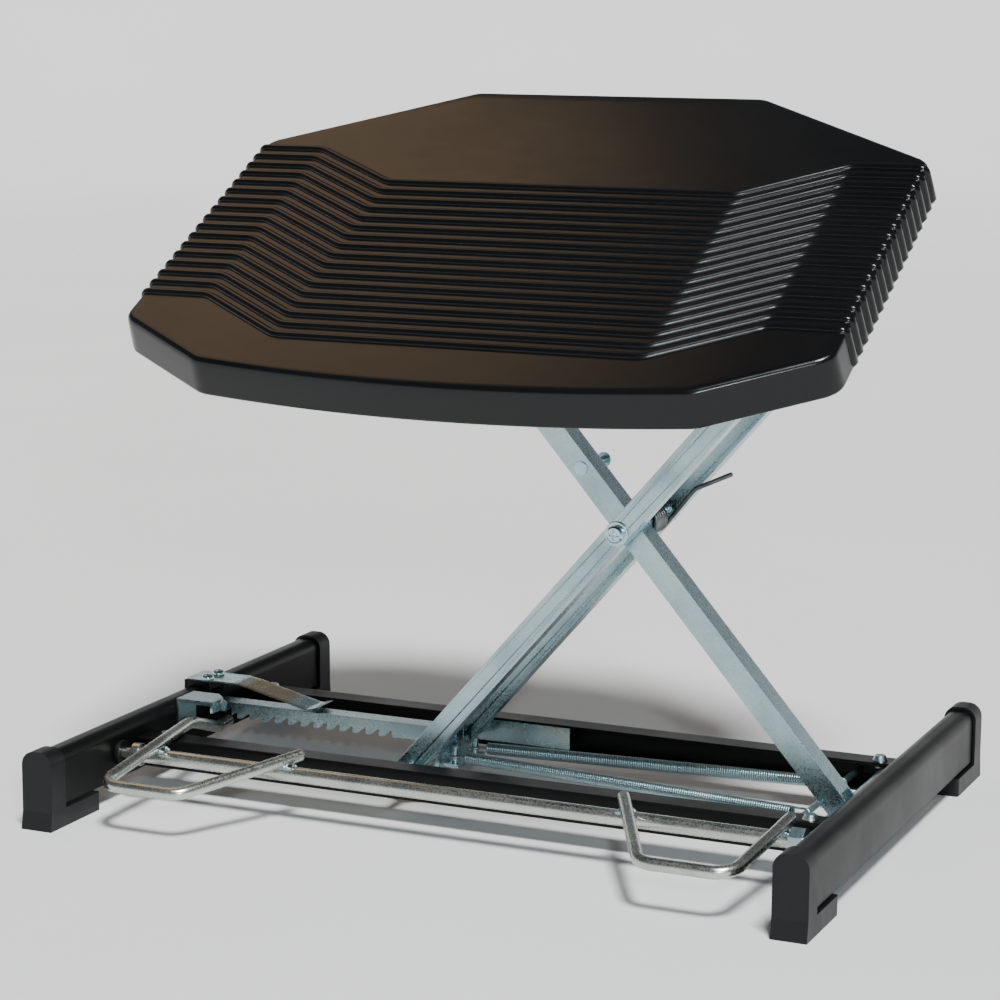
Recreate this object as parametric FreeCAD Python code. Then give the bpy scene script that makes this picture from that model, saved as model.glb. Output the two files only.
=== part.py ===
import FreeCAD, Part
import math
import os

# Tilting under desk footrest: a black steel base of two rails and two channels, a zinc plated scissor
# frame, a toothed rack with a wire pedal that frees it, and a ribbed black tray that tilts.
# X runs along the tray's long side, Y from front to back, Z up. The origin is on the floor, midway
# between the rails and midway from front to back. Everything is in millimetres.

V = FreeCAD.Vector

# Clearances
run_gap = 0.06          # radial, shaft in its bore
side_gap = 0.3          # between faces that slide past each other
seat_gap = 0.3          # between curved faces of different bodies

# Base rails and their plastic ends
rail_gauge = 500.0      # between the rails' middles
rail_w = 18.0
rail_h = 35.0
rail_z = 14.0           # underside above the floor
rail_len = 374.0
rail_wall = 1.6
rail_round = 7.0
cap_wall = 2.0
cap_front = 3.0         # thickness in front of the rail's end
cap_sleeve = 13.0
cap_lean = 2.0          # how far the front leans forward at the floor
foot_len = 57.0
foot_t = 12.0
plug_gap = 0.15

# Cross channels
beam_d = 18.0
beam_h = 20.0
beam_wall = 1.8
beam_mid = 73.5         # from the middle of the base to the middle of each channel
beam_rivet_x = 224.0
rivet_head_r = 6.0
rivet_head_h = 3.0
rivet_tail = 1.2
lug_len = 30.0
lug_t = 2.0

# Scissor frame: a fixed hinge low at the right, a sliding foot low at the left
axle_z = rail_z + rail_h / 2.0 - 5.0
axle_r = 4.0
hinge_x = 230.0
foot_span = 291.0       # between the two lower axles, tray up
cross_z = 194.5         # height of the crossing, tray up
upper_share = 0.747     # upper arm as a share of the lower arm
strut_w = 15.0
strut_t = 1.8
a_depth = 14.0
a_inner = 30.0          # each leg A's inner face from the middle
b_depth = 18.0
b_front = -27.0         # leg B's front face
barrel_r = 7.0
barrel_over = 5.0       # how far the barrel stands out of leg B on each side
spacer_r = 6.5
bolt_head_r = 5.6
bolt_head_h = 4.0
sleeve_r = 6.0
nut_h = 6.0
nut_af = 13.0
rivet_r = 4.2
rivet_up = 48.0         # along leg B from the crossing
rivet_shank_r = 2.6
rivet_end = 10.0        # under its back head, which stands off leg B
rivet_head_r = 5.0
rivet_head_t = 3.0
strut_washer_t = 1.4

# Lower sliding foot
shoe_len = 77.0
shoe_back = 8.0         # from the axle to the shoe's left end
shoe_t = 1.5
shoe_depth = 13.0

# Rack that holds the height
rack_w = 14.0
rack_y = 15.0           # front face
rack_top = 39.0
rack_t = 1.6
rack_h = 11.0
tooth_pitch = 10.0
tooth_h = 5.0
tooth_count = 14
tooth_face = 3.5        # flat of each tooth's tip
rack_tip = 243.0        # tip from the middle of the base
tip_plain = 2.3         # plain length before the first tooth
tip_open = 18.0         # front flange cut back here, for the lever's end
ear_r = 8.0
steps_down = 8
slot_side = 1.5
slot_over = 7.5
tooth_clear = 0.4       # tooth tips above the edge that holds them

# Leaf spring on the left rail
leaf_w = 24.0
leaf_t = 1.0
leaf_bend_x = -222.0
leaf_touch_x = -160.0
leaf_tip_x = -150.0
leaf_tip_rise = 3.0
saddle_h = 3.5
saddle_len = 28.0
saddle_w = 20.0
leaf_screw_gap = 15.0
screw_r = 2.2
screw_head_r = 4.4
screw_head_h = 2.8

# Pedal rod and wire pedals
rod_r = 5.0
rod_y = -105.0
rod_play = 8.0          # between the rod's shoulder and each bush
stub_r = 3.5
stub_in = 9.0           # how far the stub goes into the rail
bush_flange_r = 8.0
bush_flange_t = 3.0
bush_r = 5.2
wire_r = 4.0
pedal_front = -175.0
right_front = -179.0    # the right pedal reaches a little further
pedal_slope = 0.14
pedal_out_x = 213.0     # outer front corner
pedal_in_x = 156.0      # inner front corner
right_out_x = 210.4
right_in_x = 153.8
pedal_end_in_x = 111.0
pedal_end_out_x = 218.5
pedal_end_y = -94.0
pedal_bend_r = 14.0
collar_r = 7.5
collar_t = 6.0
rod_nut_af = 15.0
rod_nut_t = 9.0
rod_nut_on = 7.6        # how much of it is on the rod, the rest being on the stub
lever_over_x = -211.0
lever_mid_x = -218.5
lever_mid_y = -52.0
lever_mid_rise = 1.3    # above its height over the rod
lever_dip_x = -229.5
lever_dip_y = 4.0       # level from here to its end
lever_end_x = -232.0
lever_end_y = 24.0
lever_bend_r = 60.0
lever_dip_r = 30.0
lever_gap = 0.4         # under the rack's teeth

# Guide bracket for the lever, with the bolt that stops it
guide_y0 = -32.0
guide_len = 23.0
guide_w = 28.0
guide_z0 = 30.0
guide_top = 51.0
guide_t = 2.0
guide_lip = 8.0
stop_r = 2.0
stop_z = 46.6
stop_head_af = 7.0
stop_head_t = 2.8

# Assist springs, the yoke on the sliding foot and the bar that they pull against
yoke_t = 3.0
yoke_y0 = -14.0
yoke_y1 = 28.5
yoke_h = 13.0
yoke_tab = 15.0
yoke_tab_w = 12.0
yoke_tab_t = 2.5
pin_r = 2.2
front_spring_y = -4.0
rear_spring_y = 21.5
anchor_x = 208.0
front_anchor_y = -33.0
rear_anchor_y = 42.0
spring_r = 3.3          # middle of the wire
spring_wire = 0.8       # wire radius
wire_sides = 6          # flats round the spring wire
spring_turns = 32
spring_tail = 9.0

# Torsion spring on the crossing
torsion_r = 8.8
torsion_wire = 1.5
torsion_turns = 5
torsion_pitch = 3.9
torsion_y0 = 1.0
torsion_arm = 31.0      # up leg A to the kink
torsion_kink = 27.5
torsion_leg = 54.0      # up leg B, past its rivet
arm_lean_a = 8.0        # degrees by which the arm crosses leg A's middle line
kink_angle = 24.8

# Upper frame that carries the tray
upper_half = 46.0       # from the middle to the inner edge of each upper channel
upper_d = 14.0
upper_h = 16.0
upper_wall = 1.8
upper_x0 = -125.0
upper_x1 = 210.0
upper_shoe_len = 30.0
upper_shoe_depth = 10.0
tie_w = 24.0
tie_t = 2.5
tie_reach = 82.0        # from the tray's middle to each tie
ear_t = 3.0

# Tilt hinge
tray_x = 2.0
tilt_deg = 28.0
tilt_y = 19.6
tilt_z = 347.0
tilt_arm = 33.0         # from the tray's top face to the hinge
shaft_r = 5.0
shaft_half = 104.0
tray_ear_in = 5.0
plate_t = 2.0
plate_half_x = 112.0
plate_half_s = 45.0
plate_shift = 14.0
screw_m = 2.5

# Tray
tray_half_w = 238.0
tray_back = 175.0
tray_front = 163.0
tray_bow = 11.0
back_half = 105.0
side_back = 101.0
side_front = 120.0
front_half = 164.0
tray_t = 3.0
skirt_h = 25.0
skirt_t = 3.0
corner_r = 14.0
edge_r = 4.0
rib_count = 17
rib_pitch = 11.33
rib_r = 3.2
rib_sink = 0.9
rib_shift = 39.3
rib_in = 122.0
rib_out = 188.7
boss_r = 6.0

# Places that follow from the sizes above
rail_x = rail_gauge / 2.0
rail_in = rail_x - rail_w / 2.0
rail_top = rail_z + rail_h
rod_z = rail_z + rail_h / 2.0
rod_half = rail_in - bush_flange_t - rod_play
stub_end = rail_in + stub_in
beam_z0 = axle_z - beam_h / 2.0
beam_z1 = beam_z0 + beam_h
slide_x = hinge_x - foot_span
cross_x = hinge_x - foot_span / 2.0
half_x = foot_span / 2.0
half_z = cross_z - axle_z
arm = math.hypot(half_x, half_z)
lean = math.atan2(half_z, half_x)
top_z = cross_z + upper_share * half_z
a_top_x = cross_x + upper_share * half_x
b_top_x = cross_x - upper_share * half_x
b_back = b_front + b_depth
tilt = math.radians(tilt_deg)
drop_travel = steps_down * tooth_pitch
teeth_z = rack_top - rack_h
hold_z = teeth_z - tooth_clear

os.makedirs("parts", exist_ok=True)


# Helpers

def box(x0, x1, y0, y1, z0, z1):
    return Part.makeBox(x1 - x0, y1 - y0, z1 - z0, V(x0, y0, z0))


def rod_y_dir(x, z, r, y0, y1):
    return Part.makeCylinder(r, y1 - y0, V(x, y0, z), V(0, 1, 0))


def rod_x_dir(y, z, r, x0, x1):
    return Part.makeCylinder(r, x1 - x0, V(x0, y, z), V(1, 0, 0))


def rod_z_dir(x, y, r, z0, z1):
    return Part.makeCylinder(r, z1 - z0, V(x, y, z0), V(0, 0, 1))


def face_of(points):
    return Part.Face(Part.makePolygon(points + [points[0]]))


def fuse(shapes):
    whole = shapes[0].multiFuse(shapes[1:]) if len(shapes) > 1 else shapes[0]
    return whole.removeSplitter()


def mirror_x(shape):
    return shape.mirror(V(0, 0, 0), V(1, 0, 0))


def mirror_y(shape):
    return shape.mirror(V(0, 0, 0), V(0, 1, 0))


def hexagon(across, length, start, direction):
    """Hexagonal prism from start along X or Y."""
    r = across / math.sqrt(3.0)
    pts = []
    for k in range(6):
        a = math.radians(60 * k + 30)
        if direction == "x":
            pts.append(start + V(0, r * math.cos(a), r * math.sin(a)))
        else:
            pts.append(start + V(r * math.cos(a), 0, r * math.sin(a)))
    push = V(length, 0, 0) if direction == "x" else V(0, length, 0)
    return face_of(pts).extrude(push)


def save(name, shape):
    if shape.ShapeType == "Compound" and len(shape.Solids) == 1:
        shape = shape.Solids[0]
    if not shape.isValid():
        print("not valid:", name)
    shape.exportStep("parts/" + name + ".step")
    print(name, len(shape.Solids), round(shape.Volume), [round(c, 1) for c in (
        shape.BoundBox.XMin, shape.BoundBox.XMax, shape.BoundBox.YMin,
        shape.BoundBox.YMax, shape.BoundBox.ZMin, shape.BoundBox.ZMax)])


def rounded_path(points, radii):
    """Straight runs joined by tangent arcs, one radius for each inner point."""
    edges = []
    last = points[0]
    for i in range(1, len(points) - 1):
        p, a, b = points[i], points[i - 1], points[i + 1]
        u = (a - p).normalize()
        w = (b - p).normalize()
        half = u.getAngle(w) / 2.0
        back = radii[i - 1] / math.tan(half)
        start = p + u * back
        end = p + w * back
        inward = (u + w).normalize()
        centre = p + inward * (radii[i - 1] / math.sin(half))
        middle = centre - inward * radii[i - 1]
        edges.append(Part.LineSegment(last, start).toShape())
        edges.append(Part.Arc(start, middle, end).toShape())
        last = end
    edges.append(Part.LineSegment(last, points[-1]).toShape())
    return Part.Wire(edges)


def tube_along(path, r, sides=0):
    """Wire of radius r along a path of lines and arcs: round, or with that many flat sides."""
    first = path.Edges[0]
    p = first.valueAt(first.FirstParameter)
    t = first.tangentAt(first.FirstParameter).normalize()
    if sides == 0:
        ring = Part.Wire([Part.Circle(p, t, r).toShape()])
        return path.makePipeShell([ring], True, False)
    u = t.cross(V(0.31, 0.47, 0.83)).normalize()
    w = t.cross(u)
    turn = 2.0 * math.pi / sides
    pts = [p + u * (r * math.cos(turn * k)) + w * (r * math.sin(turn * k)) for k in range(sides)]
    return path.makePipeShell([Part.makePolygon(pts + [pts[0]])], True, False)


def biarc(p0, t0, p1, t1):
    """Two arcs that leave p0 along t0 and reach p1 along t1."""
    v = p1 - p0
    t = t0 + t1
    k = 2.0 * (1.0 - t0.dot(t1))
    vt = v.dot(t)
    if abs(k) < 1e-9:
        d = v.dot(v) / (2.0 * vt)
    else:
        d = (-vt + math.sqrt(vt * vt + k * v.dot(v))) / k
    q0 = p0 + t0 * d
    q1 = p1 - t1 * d
    joint = (q0 + q1) * 0.5
    return [arc_by_apex(p0, q0, joint), arc_by_apex(joint, q1, p1)]


def arc_by_apex(a, apex, b):
    """Arc from a to b whose end tangents meet at the apex."""
    chord = (a + b) * 0.5
    rise = apex - chord
    h = rise.Length
    half = (b - a).Length / 2.0
    if h < 1e-6:
        return Part.LineSegment(a, b).toShape()
    sag = half * math.tan(math.atan2(h, half) / 2.0)
    return Part.Arc(a, chord + rise * (sag / h), b).toShape()


def coil_points(centre, axis, side, up, r, pitch, turns, phase=0.0):
    """Places and tangents at each half turn of a coil."""
    out = []
    for k in range(2 * turns + 1):
        a = phase + math.pi * k
        place = centre + axis * (pitch * k / 2.0) + side * (r * math.cos(a)) + up * (r * math.sin(a))
        along = axis * (pitch / (2.0 * math.pi)) - side * (r * math.sin(a)) + up * (r * math.cos(a))
        out.append((place, along.normalize()))
    return out


def least_self_gap(pitch, wire):
    """Gap between neighbouring turns, measured on points of one turn and the next."""
    best = 1e9
    for i in range(24):
        a = 2.0 * math.pi * i / 24
        for j in range(24):
            b = 2.0 * math.pi * (j + 12) / 24
            d = math.hypot(2 * spring_r * math.sin((a - b) / 2.0), pitch * (1 + (b - a) / (2 * math.pi)))
            if abs(b - a) < math.pi:
                best = min(best, d)
    return best - 2.0 * wire


# Rails: round-topped steel tube

def rail_profile(grow, x, y):
    """Outline of the rail in the XZ plane, grown outward by grow."""
    w = rail_w / 2.0 + grow
    z0 = rail_z - grow
    z1 = rail_top + grow
    r = rail_round + grow
    k = r * math.sqrt(0.5)
    edges = [
        Part.LineSegment(V(x - w, y, z0), V(x + w, y, z0)).toShape(),
        Part.LineSegment(V(x + w, y, z0), V(x + w, y, z1 - r)).toShape(),
        Part.Arc(V(x + w, y, z1 - r), V(x + w - r + k, y, z1 - r + k), V(x + w - r, y, z1)).toShape(),
        Part.LineSegment(V(x + w - r, y, z1), V(x - w + r, y, z1)).toShape(),
        Part.Arc(V(x - w + r, y, z1), V(x - w + r - k, y, z1 - r + k), V(x - w, y, z1 - r)).toShape(),
        Part.LineSegment(V(x - w, y, z1 - r), V(x - w, y, z0)).toShape(),
    ]
    return Part.Face(Part.Wire(edges))


def rail(x):
    body = rail_profile(0, x, -rail_len / 2.0).extrude(V(0, rail_len, 0))
    hollow = rail_profile(-rail_wall, x, -rail_len / 2.0).extrude(V(0, rail_len, 0))
    return body.cut(hollow)


def rail_holes(shape, side):
    """Holes in a rail's inner wall for the pedal rod's bush."""
    x0 = side * (rail_in - 1.0)
    x1 = side * (rail_in + rail_wall + 1.0)
    return shape.cut(rod_x_dir(rod_y, rod_z, bush_r, min(x0, x1), max(x0, x1)))


right_rail = rail_holes(rail(rail_x), 1)
left_rail = rail_holes(rail(-rail_x), -1)
rack_slot = box(-rail_x - rail_w, -rail_in + 1.0, rack_y - slot_side, rack_y + rack_w + slot_side,
                hold_z, rack_top + slot_over)
left_rail = left_rail.cut(rack_slot)
save("right_rail", right_rail)


# Plastic ends: a sleeve over the rail with a foot that runs under it

def end_cap(x):
    """Front end; the back one is its mirror."""
    front = -rail_len / 2.0 - cap_front
    sleeve_end = -rail_len / 2.0 + cap_sleeve
    outer = rail_profile(cap_wall, x, front).extrude(V(0, sleeve_end - front, 0))
    w = rail_w / 2.0 + cap_wall
    nose = face_of([V(x - w, front, rail_z - cap_wall), V(x - w, front - cap_lean, 0),
                    V(x - w, front + 8, 0), V(x - w, front + 8, rail_z)]).extrude(V(2 * w, 0, 0))
    foot = box(x - w, x + w, front + 2, front + foot_len, 0, foot_t)
    foot = foot.makeFillet(2.5, [e for e in foot.Edges if abs(e.CenterOfMass.y - front - foot_len) < 0.01
                                 and abs(e.CenterOfMass.x - x) > 1])
    cap = fuse([outer, nose, foot])
    room = rail_profile(plug_gap, x, -rail_len / 2.0).extrude(V(0, rail_len, 0))
    cap = cap.cut(room)
    tongue = rail_profile(-rail_wall - plug_gap, x, -rail_len / 2.0 - 0.5).extrude(V(0, cap_sleeve, 0))
    inner = rail_profile(-rail_wall - plug_gap - cap_wall, x, -rail_len / 2.0 + 1).extrude(
        V(0, cap_sleeve, 0))
    return fuse([cap, tongue.cut(inner)])


cap_right = end_cap(rail_x)
save("cap_front_right", cap_right)
save("cap_front_left", mirror_x(cap_right))
save("cap_back_right", mirror_y(cap_right))
save("cap_back_left", mirror_y(mirror_x(cap_right)))


# Cross channels, open sides facing each other, with lugs and rivets at their ends

def beam():
    """Front channel; the back one is its mirror."""
    y0 = -beam_mid - beam_d / 2.0
    y1 = y0 + beam_d
    c = box(-rail_in, rail_in, y0, y1, beam_z0, beam_z1)
    c = c.cut(box(-rail_in - 1, rail_in + 1, y0 + beam_wall, y1 + 1, beam_z0 + beam_wall,
                  beam_z1 - beam_wall))
    corners = [e for e in c.Edges if abs(e.CenterOfMass.y - y0) < 0.01 and e.Length > rail_in]
    c = c.makeFillet(beam_wall, corners)
    c = c.cut(rod_y_dir(hinge_x, axle_z, axle_r, y0 - 1, y0 + beam_wall + 1))
    c = c.cut(rod_y_dir(anchor_x, axle_z, pin_r, y0 - 1, y0 + beam_wall + 1))
    for s in (-1, 1):
        c = c.cut(rod_z_dir(s * beam_rivet_x, -beam_mid, screw_m, beam_z1 - beam_wall - 1, beam_z1 + 1))
    return c


def beam_lug(s):
    """Tab from the rail's inner face under the channel's top."""
    x0, x1 = sorted((s * (rail_in - lug_len), s * rail_in))
    z1 = beam_z1 - beam_wall
    tab = box(x0, x1, -beam_mid - 5, -beam_mid + 5, z1 - lug_t, z1)
    return tab.cut(rod_z_dir(s * beam_rivet_x, -beam_mid, screw_m, z1 - lug_t - 1, z1 + 1))


def beam_rivet(s):
    """Dome-headed rivet down through the channel's top and the lug."""
    x = s * beam_rivet_x
    head = Part.makeCone(rivet_head_r, rivet_head_r - rivet_head_h / 2.0, rivet_head_h,
                         V(x, -beam_mid, beam_z1), V(0, 0, 1))
    low = beam_z1 - beam_wall - lug_t
    shank = rod_z_dir(x, -beam_mid, screw_m, low, beam_z1)
    return fuse([head, shank, rod_z_dir(x, -beam_mid, screw_m + 1.1, low - rivet_tail, low)])


front_beam = beam()
save("front_beam", front_beam)
save("rear_beam", mirror_y(front_beam))
lugs = [beam_lug(s) for s in (-1, 1)]
save("beam_lugs", Part.makeCompound(lugs + [mirror_y(s) for s in lugs]))
rivets = [beam_rivet(s) for s in (-1, 1)]
save("beam_rivets", Part.makeCompound(rivets + [mirror_y(s) for s in rivets]))

# Fixed lower hinge: axle, spacer tubes on each side of leg B's barrel
beam_outer = beam_mid + beam_d / 2.0
beam_inner = beam_mid - beam_d / 2.0
axle = rod_y_dir(hinge_x, axle_z, axle_r, -beam_outer - 1.2, beam_outer + 1.2)
for y in (-beam_outer - 1.2, beam_outer):
    axle = axle.fuse(rod_y_dir(hinge_x, axle_z, axle_r + 1.5, y, y + 1.2))
save("hinge_axle", axle.removeSplitter())
barrel_y0 = b_front - barrel_over
barrel_y1 = b_back + barrel_over


def tube_y(x, z, r_out, r_in, y0, y1):
    return rod_y_dir(x, z, r_out, y0, y1).cut(rod_y_dir(x, z, r_in, y0 - 1, y1 + 1))


save("hinge_spacers", Part.makeCompound([
    tube_y(hinge_x, axle_z, spacer_r, axle_r, -beam_inner, barrel_y0 - side_gap),
    tube_y(hinge_x, axle_z, spacer_r, axle_r, barrel_y1 + side_gap, beam_inner)]))


# Scissor struts: folded channel with round ends

def strut(xa, za, xb, zb, y0, depth, web_side):
    """Channel from hole to hole. web_side is the side of its closed edge, +1 for clockwise of its run."""
    run = V(xb - xa, 0, zb - za)
    length = run.Length
    u = V(run).normalize()
    w = V(u.z, 0, -u.x) * web_side
    half = strut_w / 2.0

    def plate(y):
        a, b = V(xa, y, za), V(xb, y, zb)
        outline = Part.Wire([
            Part.LineSegment(a + w * half, b + w * half).toShape(),
            Part.Arc(b + w * half, b + u * half, b - w * half).toShape(),
            Part.LineSegment(b - w * half, a - w * half).toShape(),
            Part.Arc(a - w * half, a - u * half, a + w * half).toShape()])
        return Part.Face(outline).extrude(V(0, strut_t, 0))

    a = V(xa, y0, za)
    inset = half + 4.0
    s = a + u * inset + w * half
    e = a + u * (length - inset) + w * half
    web = face_of([s, e, e - w * strut_t, s - w * strut_t]).extrude(V(0, depth, 0))
    return fuse([plate(y0), plate(y0 + depth - strut_t), web])


leg_b = strut(hinge_x, axle_z, b_top_x, top_z, b_front, b_depth, 1)
leg_b = leg_b.cut(rod_y_dir(hinge_x, axle_z, barrel_r, b_front - 1, b_back + 1))
leg_b = leg_b.cut(rod_y_dir(cross_x, cross_z, axle_r + run_gap, b_front - 1, b_back + 1))
leg_b = leg_b.cut(rod_y_dir(b_top_x, top_z, axle_r + run_gap, b_front - 1, b_back + 1))
save("leg_b_barrel", tube_y(hinge_x, axle_z, barrel_r, axle_r + run_gap, barrel_y0, barrel_y1))

# Rivet on leg B that the torsion spring's arm bears on
up_b = V(b_top_x - cross_x, 0, top_z - cross_z).normalize()
rivet_at = V(cross_x, 0, cross_z) + up_b * rivet_up
rivet = rod_y_dir(rivet_at.x, rivet_at.z, rivet_r, b_front - 1.0, b_front)
rivet = rivet.fuse(rod_y_dir(rivet_at.x, rivet_at.z, rivet_shank_r, b_front, rivet_end))
rivet_head = rod_y_dir(rivet_at.x, rivet_at.z, rivet_head_r, rivet_end, rivet_end + rivet_head_t)
rivet_head = rivet_head.makeChamfer(1.6, [e for e in rivet_head.Edges
                                          if abs(e.CenterOfMass.y - rivet_end - rivet_head_t) < 0.01])
leg_b_hole = rod_y_dir(rivet_at.x, rivet_at.z, rivet_shank_r, b_front - 1, b_back + 1)
save("leg_b", leg_b.cut(leg_b_hole))
save("leg_b_rivet", fuse([rivet, rivet_head]))


def leg_a(y0):
    s = strut(slide_x, axle_z, a_top_x, top_z, y0, a_depth, 1)
    for x, z, r in ((slide_x, axle_z, axle_r + run_gap), (cross_x, cross_z, axle_r),
                    (a_top_x, top_z, axle_r + run_gap)):
        s = s.cut(rod_y_dir(x, z, r, y0 - 1, y0 + a_depth + 1))
    return s


a_outer = a_inner + a_depth
save("leg_a_front", leg_a(-a_outer))
save("leg_a_rear", leg_a(a_inner))

# Crossing: bolt, washers, spacer sleeve and nut, all turning with leg A
bolt_y0 = -a_outer - strut_washer_t
cross_bolt = fuse([
    rod_y_dir(cross_x, cross_z, axle_r, bolt_y0, a_outer + nut_h + 2.0),
    rod_y_dir(cross_x, cross_z, bolt_head_r, bolt_y0 - bolt_head_h, bolt_y0)])
cross_bolt = cross_bolt.makeChamfer(1.2, [e for e in cross_bolt.Edges
                                          if abs(e.CenterOfMass.y - bolt_y0 + bolt_head_h) < 0.01])
recess = fuse([box(cross_x - 3.4, cross_x + 3.4, bolt_y0 - bolt_head_h - 1, bolt_y0 - bolt_head_h + 1.6,
                   cross_z - 0.9, cross_z + 0.9),
               box(cross_x - 0.9, cross_x + 0.9, bolt_y0 - bolt_head_h - 1, bolt_y0 - bolt_head_h + 1.6,
                   cross_z - 3.4, cross_z + 3.4)])
save("cross_bolt", cross_bolt.cut(recess))
nut = hexagon(nut_af, nut_h, V(cross_x, a_outer + strut_washer_t, cross_z), "y")
nut = nut.cut(rod_y_dir(cross_x, cross_z, axle_r, a_outer, a_outer + 20))
save("cross_nut", nut)
save("cross_washers", Part.makeCompound([
    tube_y(cross_x, cross_z, 7.8, axle_r, -a_outer - strut_washer_t, -a_outer),
    tube_y(cross_x, cross_z, 7.8, axle_r, a_outer, a_outer + strut_washer_t),
    tube_y(cross_x, cross_z, 7.0, axle_r, -a_inner, b_front - side_gap)]))
cross_sleeve_r = torsion_r - torsion_wire - seat_gap
save("cross_sleeve", tube_y(cross_x, cross_z, cross_sleeve_r, axle_r, b_back + side_gap, a_inner))

# Lower sliding foot: axle, spacer sleeve and two sheet shoes that run in the channels
foot_reach = beam_outer - beam_wall - side_gap
shoe_z0 = beam_z0 + beam_wall + side_gap
shoe_z1 = beam_z1 - beam_wall - side_gap


def shoe():
    """Back shoe: a channel with its closed face to the middle."""
    y1 = foot_reach
    y0 = y1 - shoe_depth
    x0 = slide_x - shoe_back
    s = box(x0, x0 + shoe_len, y0, y1, shoe_z0, shoe_z1)
    s = s.cut(box(x0 - 1, x0 + shoe_len + 1, y0 + shoe_t, y1 + 1, shoe_z0 + shoe_t, shoe_z1 - shoe_t))
    return s.cut(rod_y_dir(slide_x, axle_z, axle_r, y0 - 1, y1 + 1))


save("foot_axle", rod_y_dir(slide_x, axle_z, axle_r, -foot_reach, foot_reach))
save("foot_shoes", Part.makeCompound([shoe(), mirror_y(shoe())]))
save("foot_sleeve", tube_y(slide_x, axle_z, sleeve_r, axle_r, -a_inner + side_gap, rack_y - side_gap))

# Rack: inverted channel with saw teeth along both edges and ears on the sliding axle

def rack():
    x0 = -rack_tip
    x1 = slide_x
    body = box(x0, x1, rack_y, rack_y + rack_w, teeth_z, rack_top)
    ears = rod_y_dir(slide_x, axle_z, ear_r, rack_y, rack_y + rack_w)
    block = box(slide_x - 2 * ear_r, slide_x + ear_r, rack_y, rack_y + rack_w, axle_z, rack_top)
    body = fuse([body, ears, block])
    body = body.cut(box(x0 - 1, x1 + 2 * ear_r, rack_y + rack_t, rack_y + rack_w - rack_t,
                        axle_z - 2 * ear_r, rack_top - rack_t))
    body = body.cut(box(x0 - 1, x0 + tip_plain, rack_y - 1, rack_y + rack_w + 1, teeth_z - 1,
                        teeth_z + tooth_h))
    body = body.cut(box(x0 - 1, x0 + tip_open, rack_y - 1, rack_y + rack_t + 1, teeth_z - 1,
                        rack_top - rack_t))
    for k in range(tooth_count):
        left = x0 + tip_plain + tooth_pitch * k
        notch = face_of([V(left + tooth_face, rack_y - 1, teeth_z - 0.1),
                         V(left + tooth_pitch, rack_y - 1, teeth_z + tooth_h),
                         V(left + tooth_pitch, rack_y - 1, teeth_z - 0.1)])
        body = body.cut(notch.extrude(V(0, rack_w + 2, 0)))
    return body.cut(rod_y_dir(slide_x, axle_z, axle_r + run_gap, rack_y - 1, rack_y + rack_w + 1))


save("ratchet_rack", rack())

# Leaf spring, its saddle and screws
leaf_z = rail_top + saddle_h
leaf_mid = rack_y + rack_w / 2.0 + 3.0
leaf_y0 = leaf_mid - leaf_w / 2.0
saddle = box(-rail_x - saddle_w / 2.0, -rail_x + saddle_w / 2.0, leaf_mid - saddle_len / 2.0,
             leaf_mid + saddle_len / 2.0, rail_top - rail_round, leaf_z)
saddle = saddle.cut(rail_profile(0, -rail_x, -rail_len / 2.0).extrude(V(0, rail_len, 0)))
saddle = saddle.cut(rack_slot)
screw_x = -rail_x + 5.0
screw_ys = [leaf_mid - leaf_screw_gap / 2.0, leaf_mid + leaf_screw_gap / 2.0]
leaf_base = box(-rail_x - saddle_w / 2.0 + 1.0, leaf_bend_x, leaf_y0, leaf_y0 + leaf_w, leaf_z,
                leaf_z + leaf_t)
screws = []
for y in screw_ys:
    hole = rod_z_dir(screw_x, y, screw_r, rail_top - rail_wall - 3, leaf_z + leaf_t + 1)
    saddle = saddle.cut(hole)
    leaf_base = leaf_base.cut(hole)
    left_rail = left_rail.cut(hole)
    head = rod_z_dir(screw_x, y, screw_head_r, leaf_z + leaf_t, leaf_z + leaf_t + screw_head_h)
    head = head.makeChamfer(1.2, [e for e in head.Edges
                                  if abs(e.CenterOfMass.z - leaf_z - leaf_t - screw_head_h) < 0.01])
    screws.append(fuse([head, rod_z_dir(screw_x, y, screw_r, rail_top - rail_wall - seat_gap, leaf_z + leaf_t)]))
save("left_rail", left_rail)
save("leaf_saddle", saddle)
save("leaf_base", leaf_base)
save("leaf_screws", Part.makeCompound(screws))
touch_z = rack_top + seat_gap
leaf_start = leaf_bend_x + side_gap
blade = face_of([V(leaf_start, leaf_y0, leaf_z), V(leaf_touch_x, leaf_y0, touch_z),
                 V(leaf_tip_x, leaf_y0, touch_z + leaf_tip_rise),
                 V(leaf_tip_x, leaf_y0, touch_z + leaf_tip_rise + leaf_t),
                 V(leaf_touch_x, leaf_y0, touch_z + leaf_t), V(leaf_start, leaf_y0, leaf_z + leaf_t)])
save("leaf_blade", blade.extrude(V(0, leaf_w, 0)))

# Pedal rod with its bushes, collars and nut
rod = fuse([rod_x_dir(rod_y, rod_z, rod_r, -rod_half, rod_half),
            rod_x_dir(rod_y, rod_z, stub_r, -stub_end, stub_end)])
save("pedal_rod", rod)


def bush(s):
    inner = rail_in - bush_flange_t
    flange = rod_x_dir(rod_y, rod_z, bush_flange_r, inner, rail_in)
    neck = rod_x_dir(rod_y, rod_z, bush_r, rail_in, rail_in + rail_wall + 1.5)
    whole = fuse([flange, neck]).cut(rod_x_dir(rod_y, rod_z, stub_r + run_gap, inner - 1, rail_in + 9))
    return whole if s > 0 else mirror_x(whole)


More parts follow.
